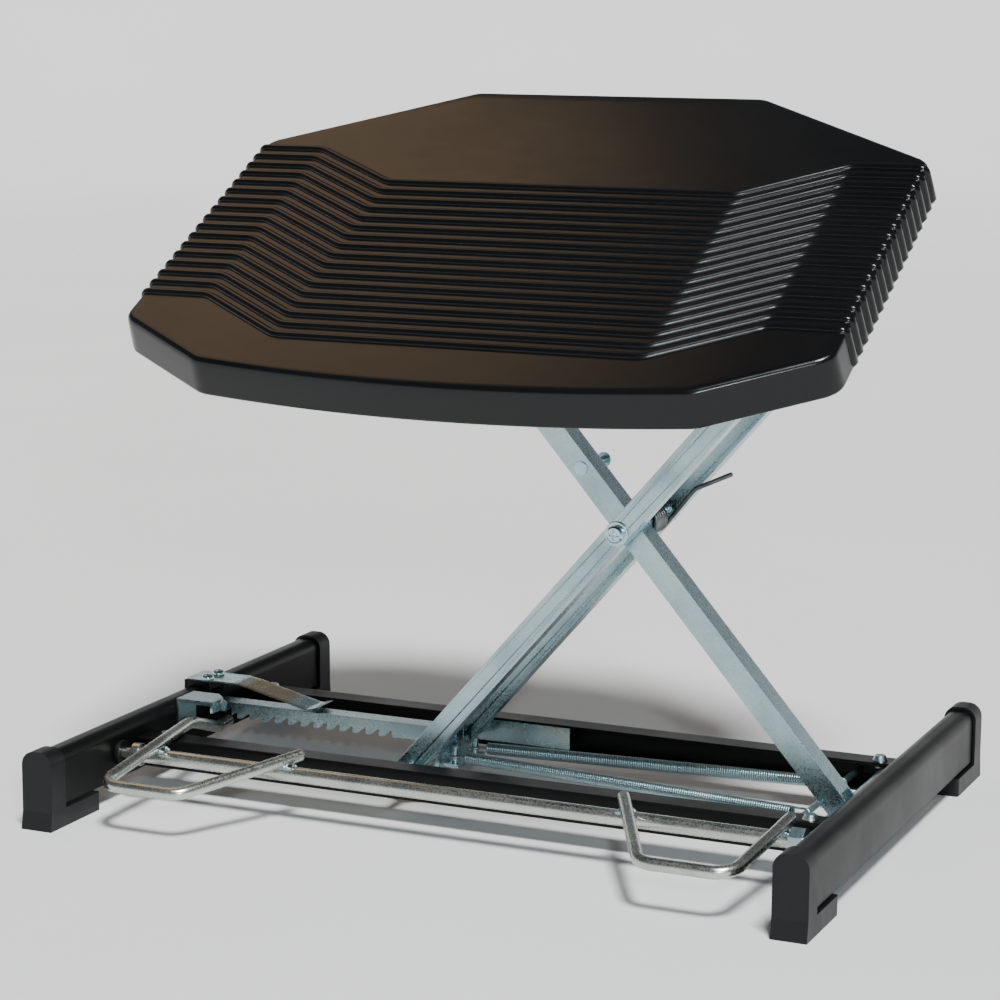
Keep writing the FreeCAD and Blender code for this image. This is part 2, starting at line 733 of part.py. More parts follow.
save("rod_bushes", Part.makeCompound([bush(1), bush(-1)]))
rod_nut = hexagon(rod_nut_af, rod_nut_t, V(rod_half - rod_nut_on, rod_y, rod_z), "x")
rod_nut = rod_nut.cut(rod_x_dir(rod_y, rod_z, rod_r, 0, rod_half))
rod_nut = rod_nut.cut(rod_x_dir(rod_y, rod_z, stub_r, rod_half, rail_x))
save("rod_nut", rod_nut)
collar_x = rod_half - collar_t
collars = rod_x_dir(rod_y, rod_z, collar_r, -rod_half, -collar_x).cut(
    rod_x_dir(rod_y, rod_z, rod_r, -rail_x, 0))
save("rod_collar", collars)

# Wire pedals welded on top of the rod
weld_z = rod_z + rod_r + wire_r


def leg_z(y):
    return weld_z + pedal_slope * (y - rod_y)


front_z = leg_z(pedal_front)
right_z = leg_z(right_front)
right_path = rounded_path([
    V(pedal_end_in_x, pedal_end_y, leg_z(pedal_end_y)), V(right_in_x, right_front, right_z),
    V(right_out_x, right_front, right_z), V(pedal_end_out_x, pedal_end_y, leg_z(pedal_end_y))],
    [pedal_bend_r, pedal_bend_r])
save("right_pedal", tube_along(right_path, wire_r))
lever_end_z = teeth_z - wire_r - lever_gap
left_path = rounded_path([
    V(-pedal_end_in_x, pedal_end_y, leg_z(pedal_end_y)), V(-pedal_in_x, pedal_front, front_z),
    V(-pedal_out_x, pedal_front, front_z), V(lever_over_x, rod_y, weld_z + seat_gap),
    V(lever_mid_x, lever_mid_y, weld_z + lever_mid_rise),
    V(lever_dip_x, lever_dip_y, lever_end_z), V(lever_end_x, lever_end_y, lever_end_z)],
    [pedal_bend_r, pedal_bend_r, lever_bend_r, lever_bend_r, lever_dip_r])
save("left_pedal", tube_along(left_path, wire_r))

# Guide bracket on the left rail with the stop bolt
gx0 = -rail_in
gx1 = gx0 + guide_w
guide_y1 = guide_y0 + guide_len
guide = box(gx0, gx1, guide_y0, guide_y1, guide_z0, guide_top)
guide = guide.cut(box(gx0 + guide_t, gx1 - guide_t, guide_y0 - 1, guide_y1 + 1, guide_z0 - 1,
                      guide_top - guide_t))
guide = guide.cut(box(gx1 - guide_t - 1, gx1 + 1, guide_y0 - 1, guide_y1 + 1, guide_z0 - 1,
                      guide_top - guide_lip))
corner = face_of([V(gx1 + 1, guide_y1 + 1, guide_z0), V(gx1 + 1, guide_y1 - 9, guide_z0),
                  V(gx1 - 9, guide_y1 + 1, guide_z0)])
guide = guide.cut(corner.extrude(V(0, 0, guide_top)))
guide_mid = guide_y0 + guide_len / 2.0
guide = guide.cut(rod_x_dir(guide_mid, stop_z, stop_r, gx0 - 1, gx1 + 1))
save("guide_bracket", guide)
save("guide_bolt", fuse([rod_x_dir(guide_mid, stop_z, stop_r, gx0, gx1),
                         hexagon(stop_head_af, stop_head_t, V(gx1, guide_mid, stop_z), "x")]))

# Yoke on the sliding foot with a pin for each assist spring
yoke_x = slide_x + sleeve_r + side_gap
yoke_z0 = axle_z - yoke_h / 2.0
ear_x = slide_x + ear_r + 1.0
front_pin = V(yoke_x + yoke_tab - 4.5, front_spring_y, axle_z)
rear_pin = V(ear_x + yoke_tab - 4.5, rear_spring_y, axle_z)


def yoke_tab_at(x0, y):
    tab = box(x0, x0 + yoke_tab, y - yoke_tab_w / 2.0, y + yoke_tab_w / 2.0, yoke_z0, yoke_z0 + yoke_tab_t)
    return tab.fuse(rod_z_dir(x0 + yoke_tab - 4.5, y, pin_r, yoke_z0, yoke_z0 + yoke_h))


yoke = fuse([
    box(yoke_x, yoke_x + yoke_t, yoke_y0, rack_y - 1.0, yoke_z0, yoke_z0 + yoke_h),
    box(yoke_x, ear_x + yoke_t, rack_y - 4.0, rack_y - 1.0, yoke_z0, yoke_z0 + yoke_h),
    box(ear_x, ear_x + yoke_t, rack_y - 4.0, yoke_y1, yoke_z0, yoke_z0 + yoke_h),
    yoke_tab_at(yoke_x, front_spring_y), yoke_tab_at(ear_x, rear_spring_y)])
save("spring_yoke", yoke)

# Bar between the channels that both springs pull against
bar = rod_y_dir(anchor_x, axle_z, pin_r, -beam_outer - 1.2, beam_outer + 1.2)
for y in (-beam_outer - 1.2, beam_outer):
    bar = bar.fuse(rod_y_dir(anchor_x, axle_z, pin_r + 1.5, y, y + 1.2))
save("spring_bar", bar.removeSplitter())


def hook(centre, d, off, r):
    """Three quarters of a ring round a pin, from beside it, ahead of it and back."""
    h = math.sqrt(0.5)
    first = Part.Arc(centre + off * r, centre + off * (r * h) + d * (r * h), centre + d * r)
    second = Part.Arc(centre + d * r, centre - off * (r * h) + d * (r * h), centre - off * r)
    third = Part.Arc(centre - off * r, centre - off * (r * h) - d * (r * h), centre - d * r)
    return [first.toShape(), second.toShape(), third.toShape()]


def assist_spring(start, end):
    """Coil with a flat hook round an upright pin at its start and a standing hook round the bar."""
    d = V(end - start).normalize()
    side = V(-d.y, d.x, 0)
    up = V(0, 0, 1)
    run = (end - start).Length - 2.0 * spring_tail
    pitch = run / spring_turns
    base = start + d * spring_tail
    marks = []
    angles = [math.pi * k for k in range(2 * spring_turns)] + [math.pi * (2 * spring_turns - 1.5)]
    angles = sorted(angles)
    for a in angles:
        place = base + d * (pitch * a / (2.0 * math.pi)) + side * (spring_r * math.cos(a)) \
            + up * (spring_r * math.sin(a))
        t = d * (pitch / (2.0 * math.pi)) - side * (spring_r * math.sin(a)) + up * (spring_r * math.cos(a))
        marks.append((place, t.normalize(), a))
    marks = [m for m in marks if m[2] <= math.pi * (2 * spring_turns - 1.5) + 1e-6]
    near = start + side * spring_r + d * 1.5
    far = end + up * spring_r - d * 1.5
    back = [e for e in hook(start, d * -1.0, side, spring_r)]
    edges = [e for e in reversed(back)]
    edges.append(Part.LineSegment(start + side * spring_r, near).toShape())
    edges += biarc(near, d, marks[0][0], marks[0][1])
    for k in range(len(marks) - 1):
        edges += biarc(marks[k][0], marks[k][1], marks[k + 1][0], marks[k + 1][1])
    edges += biarc(marks[-1][0], marks[-1][1], far, d)
    edges.append(Part.LineSegment(far, end + up * spring_r).toShape())
    edges += hook(end, d, up, spring_r)
    wire = Part.Wire(Part.__sortEdges__(edges))
    print("assist spring, least gap between turns", round(least_self_gap(pitch, spring_wire), 2),
          "length", round(wire.Length, 1), "volume", round(wire.Length * math.pi * spring_wire ** 2, 1))
    return tube_along(wire, spring_wire, wire_sides)


save("assist_spring_front", assist_spring(front_pin, V(anchor_x, front_anchor_y, axle_z)))
save("assist_spring_rear", assist_spring(rear_pin, V(anchor_x, rear_anchor_y, axle_z)))

# Torsion spring round the crossing's sleeve, one arm up leg B, the other up leg A
lean_a = lean + math.radians(arm_lean_a)
lean_b = lean + math.asin((torsion_r - torsion_wire - rivet_shank_r - seat_gap) / rivet_up)
arm_a = V(math.cos(lean_a), 0, math.sin(lean_a))
arm_b = V(-math.cos(lean_b), 0, math.sin(lean_b))
centre = V(cross_x, torsion_y0, cross_z)
y_dir = V(0, 1, 0)
# the coil starts where its tangent points down leg B and ends where it points up leg A
start_a = math.atan2(arm_b.x, -arm_b.z)
sweep = 2.0 * math.pi * torsion_turns
t_marks = []
end_a = math.atan2(-arm_a.x, arm_a.z)
turn_more = (end_a - start_a) % (2.0 * math.pi)
total = sweep + turn_more
steps = 2 * torsion_turns + 1
rise = torsion_pitch * total / (2.0 * math.pi)
for k in range(steps + 1):
    f = k / steps
    a = start_a + total * f
    place = centre + y_dir * (rise * f) + V(torsion_r * math.cos(a), 0, torsion_r * math.sin(a))
    along_t = V(-torsion_r * math.sin(a), rise / total, torsion_r * math.cos(a))
    t_marks.append((place, along_t.normalize()))
p_in = t_marks[0][0] - t_marks[0][1] * torsion_leg
t_edges = [Part.LineSegment(p_in, t_marks[0][0]).toShape()]
for k in range(len(t_marks) - 1):
    t_edges += biarc(t_marks[k][0], t_marks[k][1], t_marks[k + 1][0], t_marks[k + 1][1])
p_out = t_marks[-1][0]
d_out = t_marks[-1][1]
kink = p_out + d_out * torsion_arm
kink_dir = V(math.cos(math.radians(kink_angle)), 0, math.sin(math.radians(kink_angle)))
tail_end = kink + kink_dir * torsion_kink
arm_path = rounded_path([p_out, kink, tail_end], [8.0])
t_edges += arm_path.Edges
save("torsion_spring", tube_along(Part.Wire(t_edges), torsion_wire, wire_sides))
print("torsion spring, least gap between turns", round(torsion_pitch - 2 * torsion_wire, 2))

# Upper channels, ties and axles that carry the tray
up_z0 = top_z - upper_h / 2.0
up_z1 = top_z + upper_h / 2.0
upper_outer = upper_half + upper_d


def upper_beam():
    """Front channel; the back one is its mirror."""
    c = box(upper_x0, upper_x1, -upper_outer, -upper_half, up_z0, up_z1)
    c = c.cut(box(upper_x0 - 1, upper_x1 + 1, -upper_outer + upper_wall, -upper_half + 1,
                  up_z0 + upper_wall, up_z1 - upper_wall))
    return c.cut(rod_y_dir(a_top_x, top_z, axle_r, -upper_outer - 1, -upper_half))


save("upper_beam_front", upper_beam())
save("upper_beam_rear", mirror_y(upper_beam()))
upper_axle_a = fuse([rod_y_dir(a_top_x, top_z, axle_r, -upper_outer - 1.2, upper_outer + 1.2),
                     rod_y_dir(a_top_x, top_z, axle_r + 1.5, -upper_outer - 1.2, -upper_outer),
                     rod_y_dir(a_top_x, top_z, axle_r + 1.5, upper_outer, upper_outer + 1.2)])
save("upper_axle_fixed", upper_axle_a)
reach_b = upper_outer - upper_wall - side_gap
save("upper_axle_sliding", rod_y_dir(b_top_x, top_z, axle_r, -reach_b, reach_b))


def upper_shoe():
    x0 = b_top_x - upper_shoe_len / 2.0
    s = box(x0, x0 + upper_shoe_len, reach_b - upper_shoe_depth, reach_b, up_z0 + upper_wall + side_gap,
            up_z1 - upper_wall - side_gap)
    s = s.makeFillet(2.0, [e for e in s.Edges if abs(e.CenterOfMass.y - reach_b + upper_shoe_depth / 2.0) < 0.01])
    return s.cut(rod_y_dir(b_top_x, top_z, axle_r, 0, reach_b + 1))


save("upper_shoes", Part.makeCompound([upper_shoe(), mirror_y(upper_shoe())]))
save("upper_sleeves", Part.makeCompound([
    tube_y(b_top_x, top_z, sleeve_r, axle_r, -reach_b + upper_shoe_depth, b_front - side_gap),
    tube_y(b_top_x, top_z, sleeve_r, axle_r, b_back + side_gap, reach_b - upper_shoe_depth)]))


def tie(x_mid, s):
    """Strap across the upper channels with an ear for the tilt shaft."""
    strap = box(x_mid - tie_w / 2.0, x_mid + tie_w / 2.0, -upper_outer, upper_outer, up_z1, up_z1 + tie_t)
    xe = x_mid + s * (tie_w / 2.0 - ear_t)
    x0, x1 = sorted((xe, xe + s * ear_t))
    ear = face_of([V(x0, tilt_y - 20, up_z1 + tie_t), V(x0, tilt_y + 20, up_z1 + tie_t),
                   V(x0, tilt_y + 9, tilt_z), V(x0, tilt_y - 9, tilt_z)]).extrude(V(ear_t, 0, 0))
    top = rod_x_dir(tilt_y, tilt_z, 9.0, x0, x1)
    whole = fuse([strap, ear, top])
    return whole.cut(rod_x_dir(tilt_y, tilt_z, shaft_r + run_gap, x0 - 1, x1 + 1))


save("tilt_tie_left", tie(tray_x - tie_reach, -1))
save("tilt_tie_right", tie(tray_x + tie_reach, 1))


# Tray and what turns with it, drawn flat and then tilted about the hinge

def tilted(shape):
    s = shape.copy()
    s.translate(V(tray_x, 0, 0))
    s.rotate(V(0, 0, -tilt_arm), V(1, 0, 0), tilt_deg)
    s.translate(V(0, tilt_y, tilt_z + tilt_arm))
    return s


def tray_outline(inset, z):
    """Octagon with a bowed front edge and round corners, inset evenly."""
    k = inset
    slant_b = math.hypot(tray_half_w - back_half, tray_back - side_back)
    slant_f = math.hypot(tray_half_w - front_half, tray_front - side_front)
    db = k * (slant_b - (tray_half_w - back_half)) / (tray_back - side_back)
    eb = k * (slant_b - (tray_back - side_back)) / (tray_half_w - back_half)
    df = k * (slant_f - (tray_half_w - front_half)) / (tray_front - side_front)
    ef = k * (slant_f - (tray_front - side_front)) / (tray_half_w - front_half)
    w = tray_half_w - k
    corners = [V(back_half - db, tray_back - k, z), V(w, side_back - eb, z), V(w, -side_front + ef, z),
               V(front_half - df, -tray_front + k, z), V(-front_half + df, -tray_front + k, z),
               V(-w, -side_front + ef, z), V(-w, side_back - eb, z), V(-back_half + db, tray_back - k, z)]
    r = max(corner_r - k, 1.0)
    edges = []
    n = len(corners)
    ends = []
    for i in range(n):
        p, a, b = corners[i], corners[i - 1], corners[(i + 1) % n]
        u = (a - p).normalize()
        w2 = (b - p).normalize()
        half = u.getAngle(w2) / 2.0
        back = r / math.tan(half)
        inward = (u + w2).normalize()
        centre_r = p + inward * (r / math.sin(half))
        ends.append((p + u * back, centre_r - inward * r, p + w2 * back))
    for i in range(n):
        nxt = ends[(i + 1) % n]
        edges.append(Part.Arc(ends[i][0], ends[i][1], ends[i][2]).toShape())
        if i == 3:
            middle = V(0, -tray_front - tray_bow + k, z)
            edges.append(Part.Arc(ends[i][2], middle, nxt[0]).toShape())
        else:
            edges.append(Part.LineSegment(ends[i][2], nxt[0]).toShape())
    return Part.Face(Part.Wire(edges))


def tray():
    shell = tray_outline(0, -skirt_h).extrude(V(0, 0, skirt_h))
    shell = shell.makeFillet(edge_r, [e for e in shell.Edges if abs(e.BoundBox.ZMin) < 0.01])
    hollow = tray_outline(skirt_t, -skirt_h - 1).extrude(V(0, 0, skirt_h + 1 - tray_t))
    shell = shell.cut(hollow)
    line_z = -rib_sink
    w = tray_half_w - rib_sink
    p = [V(-w, 0, -skirt_h + 1.5), V(-w, 0, line_z), V(-rib_out, 0, line_z), V(-rib_in, -rib_shift, line_z),
         V(rib_in, -rib_shift, line_z), V(rib_out, 0, line_z), V(w, 0, line_z), V(w, 0, -skirt_h + 1.5)]
    path = Part.makePolygon(p)
    ring = Part.Wire([Part.Circle(p[0], V(0, 0, 1), rib_r).toShape()])
    rib = path.makePipeShell([ring], True, False, 1)
    ribs = []
    for k in range(rib_count):
        r = rib.copy()
        r.translate(V(0, (rib_count - 1) / 2.0 * rib_pitch - k * rib_pitch, 0))
        ribs.append(r)
    clear = tray_outline(skirt_t, -skirt_h - 1).extrude(V(0, 0, skirt_h + 1 - tray_t))
    whole = shell.multiFuse(ribs)
    whole = whole.cut(clear)
    for x in (-1, 1):
        for y in (-1, 1):
            boss = rod_z_dir(x * (plate_half_x - 14), plate_shift + y * (plate_half_s - 12), boss_r,
                             -tray_t - 4.0, -tray_t)
            whole = whole.fuse(boss)
    return whole.removeSplitter()


save("tray", tilted(tray()))

# Steel plate under the tray, its ears, shaft and screws
plate_z1 = -tray_t - 4.0
plate = box(-plate_half_x, plate_half_x, plate_shift - plate_half_s, plate_shift + plate_half_s,
            plate_z1 - plate_t, plate_z1)
plate = plate.makeFillet(8.0, [e for e in plate.Edges if abs(e.CenterOfMass.z - plate_z1 + plate_t / 2.0) < 0.01])
ear_parts = [plate]
ear_x0 = tie_reach + tie_w / 2.0 - ear_t - side_gap - ear_t
for s in (-1, 1):
    x0, x1 = sorted((s * ear_x0, s * (ear_x0 + ear_t)))
    ear = face_of([V(x0, -16, plate_z1 - plate_t), V(x0, 16, plate_z1 - plate_t),
                   V(x0, 8, -tilt_arm), V(x0, -8, -tilt_arm)]).extrude(V(ear_t, 0, 0))
    ear_parts += [ear, rod_x_dir(0, -tilt_arm, 8.0, x0, x1)]
hanger = fuse(ear_parts).cut(rod_x_dir(0, -tilt_arm, shaft_r, -plate_half_x, plate_half_x))
screws = []
for x in (-1, 1):
    for y in (-1, 1):
        sx, sy = x * (plate_half_x - 14), plate_shift + y * (plate_half_s - 12)
        hanger = hanger.cut(rod_z_dir(sx, sy, screw_m, plate_z1 - plate_t - 1, plate_z1 + 1))
        head = rod_z_dir(sx, sy, screw_head_r, plate_z1 - plate_t - screw_head_h, plate_z1 - plate_t)
        screws.append(fuse([head, rod_z_dir(sx, sy, screw_m, plate_z1 - plate_t, plate_z1)]))
save("tray_hanger", tilted(hanger))
save("tray_screws", tilted(Part.makeCompound(screws)))
shaft = rod_x_dir(0, -tilt_arm, shaft_r, -shaft_half, shaft_half)
save("tilt_shaft", tilted(shaft))
nuts = []
for s in (-1, 1):
    x0 = s * (tie_reach + tie_w / 2.0 + side_gap)
    n = hexagon(17.0, 7.0, V(min(x0, x0 + s * 7.0), 0, -tilt_arm), "x")
    nuts.append(n.cut(rod_x_dir(0, -tilt_arm, shaft_r, -shaft_half - 1, shaft_half + 1)))
save("tilt_nuts", tilted(Part.makeCompound(nuts)))

drop = math.degrees(lean - math.acos((half_x + drop_travel / 2.0) / arm))
print("height joint", round(drop, 3), "degrees, arm", round(arm, 3), "lean", round(math.degrees(lean), 3))
print("crossing", cross_x, cross_z, "slide", slide_x, "tops", a_top_x, b_top_x, top_z)
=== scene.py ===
"""Tilting under desk footrest: ribbed black tray on a plated scissor frame, with a rack and a wire pedal."""

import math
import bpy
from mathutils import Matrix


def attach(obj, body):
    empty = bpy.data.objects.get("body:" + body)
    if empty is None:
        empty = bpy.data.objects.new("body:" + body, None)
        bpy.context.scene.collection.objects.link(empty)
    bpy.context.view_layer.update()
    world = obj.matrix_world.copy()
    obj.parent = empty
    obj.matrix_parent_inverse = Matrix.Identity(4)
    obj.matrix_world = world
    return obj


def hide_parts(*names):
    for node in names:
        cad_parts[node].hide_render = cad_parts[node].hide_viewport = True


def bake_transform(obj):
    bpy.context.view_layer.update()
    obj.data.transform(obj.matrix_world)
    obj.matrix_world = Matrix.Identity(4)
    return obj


bl_info = {
    "name": "Under Desk Footrest",
    "version": (1, 0, 0),
    "blender": (4, 5, 0),
    "location": "View3D > Sidebar > Footrest",
    "description": "Dresses a tilting under desk footrest: tray, pedals, springs, frame and base",
    "category": "Object",
}

import bmesh
import bpy
import numpy as np
from bpy.props import FloatProperty, FloatVectorProperty, IntProperty, PointerProperty
from mathutils import Matrix

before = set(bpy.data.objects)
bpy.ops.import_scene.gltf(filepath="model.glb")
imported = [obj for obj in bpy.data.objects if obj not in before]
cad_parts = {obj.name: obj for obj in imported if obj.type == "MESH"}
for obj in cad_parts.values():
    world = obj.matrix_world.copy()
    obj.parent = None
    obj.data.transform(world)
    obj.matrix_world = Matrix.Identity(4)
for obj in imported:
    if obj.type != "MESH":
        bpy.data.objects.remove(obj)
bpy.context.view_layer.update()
MM = 0.001

# The struts' slope from the floor, and the middle of the crossing's spring
STRUT_LEAN = math.atan2(168.0, 145.5)
CROSSING = (0.0845, 0.001, 0.1945)

# The tray's hinge: its place, and how far the tray's top face is from it
HINGE_X, HINGE_Y, HINGE_Z = 0.002, 0.0196, 0.347
HINGE_TO_TOP = 0.033

# Radius that a pressed or turned steel edge is rounded to
FINE_EDGE = 0.0004


# Sizes and colours that a user would change

class FootrestTray(bpy.types.PropertyGroup):
    """Sizes of the ribbed tray."""

    half_width: FloatProperty(name="Half width", description="From the middle to each side", default=0.238,
                              unit="LENGTH")
    back: FloatProperty(name="Back", description="From the middle to the back edge", default=0.175,
                        unit="LENGTH")
    front: FloatProperty(name="Front", description="From the middle to the front corners", default=0.163,
                         unit="LENGTH")
    bow: FloatProperty(name="Bow", description="How far the front edge bows out", default=0.011,
                       unit="LENGTH")
    skirt: FloatProperty(name="Skirt", description="Height of the skirt", default=0.025, unit="LENGTH")
    wall: FloatProperty(name="Wall", description="Thickness of the moulding", default=0.003, unit="LENGTH")
    edge: FloatProperty(name="Edge", description="Radius of the top edge", default=0.004, unit="LENGTH")
    pitch: FloatProperty(name="Rib pitch", description="From rib to rib", default=0.01133, unit="LENGTH")
    rib: FloatProperty(name="Rib radius", description="Radius of each rib", default=0.0032, unit="LENGTH")
    ribs: IntProperty(name="Ribs", description="How many ribs run across the tray", default=17, min=3)
    tilt: FloatProperty(name="Tilt", description="Slope of the tray as it stands", default=math.radians(28.0),
                        subtype="ANGLE")


class FootrestMetal(bpy.types.PropertyGroup):
    """Sizes of wires and springs."""

    wire: FloatProperty(name="Pedal wire", description="Radius of the pedals' wire", default=0.004,
                        unit="LENGTH")
    spring: FloatProperty(name="Spring radius", description="Middle radius of the assist springs",
                          default=0.0033, unit="LENGTH")
    spring_wire: FloatProperty(name="Spring wire", description="Radius of the assist springs' wire",
                               default=0.0008, unit="LENGTH")
    turns: IntProperty(name="Turns", description="Turns of each assist spring", default=150, min=8)
    torsion: FloatProperty(name="Torsion spring", description="Middle radius of the torsion spring",
                           default=0.0088, unit="LENGTH")
    torsion_wire: FloatProperty(name="Torsion wire", description="Radius of the torsion spring's wire",
                                default=0.0015, unit="LENGTH")


class FootrestColours(bpy.types.PropertyGroup):
    """Colours of the finishes."""

    tray: FloatVectorProperty(name="Tray", description="Moulded tray", default=(0.0020, 0.0024, 0.0030),
                              subtype="COLOR", min=0.0, max=1.0)
    paint: FloatVectorProperty(name="Paint", description="Black paint on the base",
                               default=(0.0022, 0.0023, 0.0024), subtype="COLOR", min=0.0, max=1.0)
    cap: FloatVectorProperty(name="Plastic ends", description="Moulded ends of the rails",
                             default=(0.0034, 0.0040, 0.0046), subtype="COLOR", min=0.0, max=1.0)
    zinc: FloatVectorProperty(name="Zinc", description="Blue zinc plating", default=(0.35, 0.475, 0.505),
                              subtype="COLOR", min=0.0, max=1.0)
    # Warm patch colour: partly the plating's own yellow tint, partly a painted warm reflection of the room
    zinc_tint_and_reflection: FloatVectorProperty(name="Warm zinc", description="Warmer patches in the plating",
                                   default=(0.50, 0.50, 0.42), subtype="COLOR", min=0.0, max=1.0)
    wire: FloatVectorProperty(name="Pedal wire", description="Plated wire of the pedals",
                              default=(0.50, 0.52, 0.48), subtype="COLOR", min=0.0, max=1.0)
    leaf: FloatVectorProperty(name="Leaf spring", description="Yellowed strip of the leaf spring",
                              default=(0.56, 0.46, 0.28), subtype="COLOR", min=0.0, max=1.0)


# Mesh helpers

def place_mesh(name, mesh, body):
    """Smooth object from a mesh, riding on a body of the frame unless a blend will move it."""
    mesh.polygons.foreach_set("use_smooth", np.ones(len(mesh.polygons), dtype=bool))
    mesh.update()
    piece = bpy.data.objects.new(name, mesh)
    bpy.context.scene.collection.objects.link(piece)
    if body:
        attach(piece, body)
    return piece


def new_object(name, points, faces, body):
    """Object from a grid of points: its seams and poles are merged and its faces turned outward."""
    mesh = bpy.data.meshes.new(name)
    mesh.from_pydata(points.reshape(-1, 3).tolist(), [], faces.tolist())
    tidy = bmesh.new()
    tidy.from_mesh(mesh)
    bmesh.ops.remove_doubles(tidy, verts=tidy.verts, dist=0.0000004)
    bmesh.ops.recalc_face_normals(tidy, faces=tidy.faces)
    tidy.to_mesh(mesh)
    tidy.free()
    mesh.validate()
    return place_mesh(name, mesh, body)


def grid_faces(rows, columns, wrap_columns=False):
    """Quads between neighbours of a grid: point (i, j) has the number i times columns plus j."""
    i = np.arange(rows - 1)
    j = np.arange(columns if wrap_columns else columns - 1)
    a, b = np.meshgrid(i, j, indexing="ij")
    a2, b2 = a + 1, (b + 1) % columns
    quads = np.stack([a * columns + b, a * columns + b2, a2 * columns + b2, a2 * columns + b], axis=-1)
    return quads.reshape(-1, 4)


def unit(v):
    """Vectors of length one along the last axis."""
    return v / np.maximum(np.linalg.norm(v, axis=-1, keepdims=True), 1e-12)


def tube_points(path, radius, sides, across):
    """Tube: each station of the path gets a ring of radius r, path + r (cos a u + sin a w).

    u is the reference direction made square to the path, and w is square to both.
    """
    along = unit(np.gradient(path, axis=0))
    u = unit(across - along * np.sum(across * along, axis=1, keepdims=True))
    w = np.cross(along, u)
    a = np.linspace(0.0, 2.0 * math.pi, sides, endpoint=False)
    ring = np.cos(a)[None, :, None] * u[:, None, :] + np.sin(a)[None, :, None] * w[:, None, :]
    return path[:, None, :] + np.asarray(radius).reshape(-1, 1, 1) * ring


def closed_tube(name, path, radius, sides, across, body):
    """Tube with slightly rounded ends: the radius shrinks over the last rings, then a fan closes it."""
    along = unit(np.gradient(path, axis=0))
    steps = np.array([0.0, 0.25, 0.6])
    shrink = radius * np.array([0.72, 0.93, 1.0])
    head = path[0] + along[0] * (radius * steps)[:, None] * 0.5
    tail = path[-1] - along[-1] * (radius * steps[::-1])[:, None] * 0.5
    stations = np.vstack([head, path[1:-1], tail])
    refs = np.vstack([np.repeat(across[:1], 3, axis=0), across[1:-1], np.repeat(across[-1:], 3, axis=0)])
    radii = np.concatenate([shrink, np.full(len(path) - 2, float(radius)), shrink[::-1]])
    rings = tube_points(stations, radii, sides, refs)
    count = len(stations)
    points = np.vstack([rings.reshape(-1, 3), stations[:1], stations[-1:]])
    quads = grid_faces(count, sides, wrap_columns=True)
    k = np.arange(sides)
    first = np.stack([np.full(sides, count * sides), (k + 1) % sides, k], axis=-1)
    last = np.stack([np.full(sides, count * sides + 1), (count - 1) * sides + k,
                     (count - 1) * sides + (k + 1) % sides], axis=-1)
    faces = [tuple(f) for f in quads] + [tuple(f) for f in first] + [tuple(f) for f in last]
    mesh = bpy.data.meshes.new(name)
    mesh.from_pydata(points.tolist(), [], faces)
    return place_mesh(name, mesh, body)


def rounded_route(points, radii, step):
    """Straight runs joined by tangent arcs, sampled about every step."""
    points = np.asarray(points, float)
    out = [points[:1]]
    for i in range(1, len(points) - 1):
        p, a, b = points[i], points[i - 1], points[i + 1]
        u, w = unit(a - p), unit(b - p)
        half = math.acos(float(np.clip(u @ w, -1.0, 1.0))) / 2.0
        back = radii[i - 1] / math.tan(half)
        inward = unit(u + w)
        centre = p + inward * radii[i - 1] / math.sin(half)
        e1 = unit(p + u * back - centre)
        e2 = -inward
        sweep = math.pi / 2.0 - half
        e2 = unit(e2 - e1 * (e2 @ e1))
        count = max(3, int(2.0 * sweep * radii[i - 1] / step))
        t = np.linspace(0.0, 2.0 * sweep, count)[:, None]
        out.append(centre + radii[i - 1] * (np.cos(t) * e1 + np.sin(t) * e2))
    out.append(points[-1:])
    rough = np.vstack(out)
    gaps = np.linalg.norm(np.diff(rough, axis=0), axis=1)
    filled = [rough[:1]]
    for k in range(len(gaps)):
        more = max(1, int(math.ceil(gaps[k] / step)))
        t = np.linspace(0.0, 1.0, more + 1)[1:, None]
        filled.append(rough[k] * (1.0 - t) + rough[k + 1] * t)
    return np.vstack(filled)


def soften_edges(node, width, segments=2):
    """Merges a frame node's loose triangles and rounds its sharp edges."""
    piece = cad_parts[node]
    weld = piece.modifiers.new("Merge", "WELD")
    weld.merge_threshold = 0.01 * MM
    bevel = piece.modifiers.new("Edges", "BEVEL")
    bevel.width = width
    bevel.segments = segments
    bevel.limit_method = "ANGLE"
    bevel.angle_limit = math.radians(32.0)
    smooth = piece.modifiers.new("Shading", "WEIGHTED_NORMAL")
    smooth.keep_sharp = True


def finish_node(node, material):
    """Gives a frame node its material in every slot."""
    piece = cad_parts[node]
    if not piece.material_slots:
        piece.data.materials.append(material)
    for slot in piece.material_slots:
        slot.material = material


def dress(nodes, material, width=FINE_EDGE, segments=2):
    """Material and rounded edges for some frame nodes."""
    for node in nodes:
        finish_node(node, material)
        soften_edges(node, width, segments)


# Materials

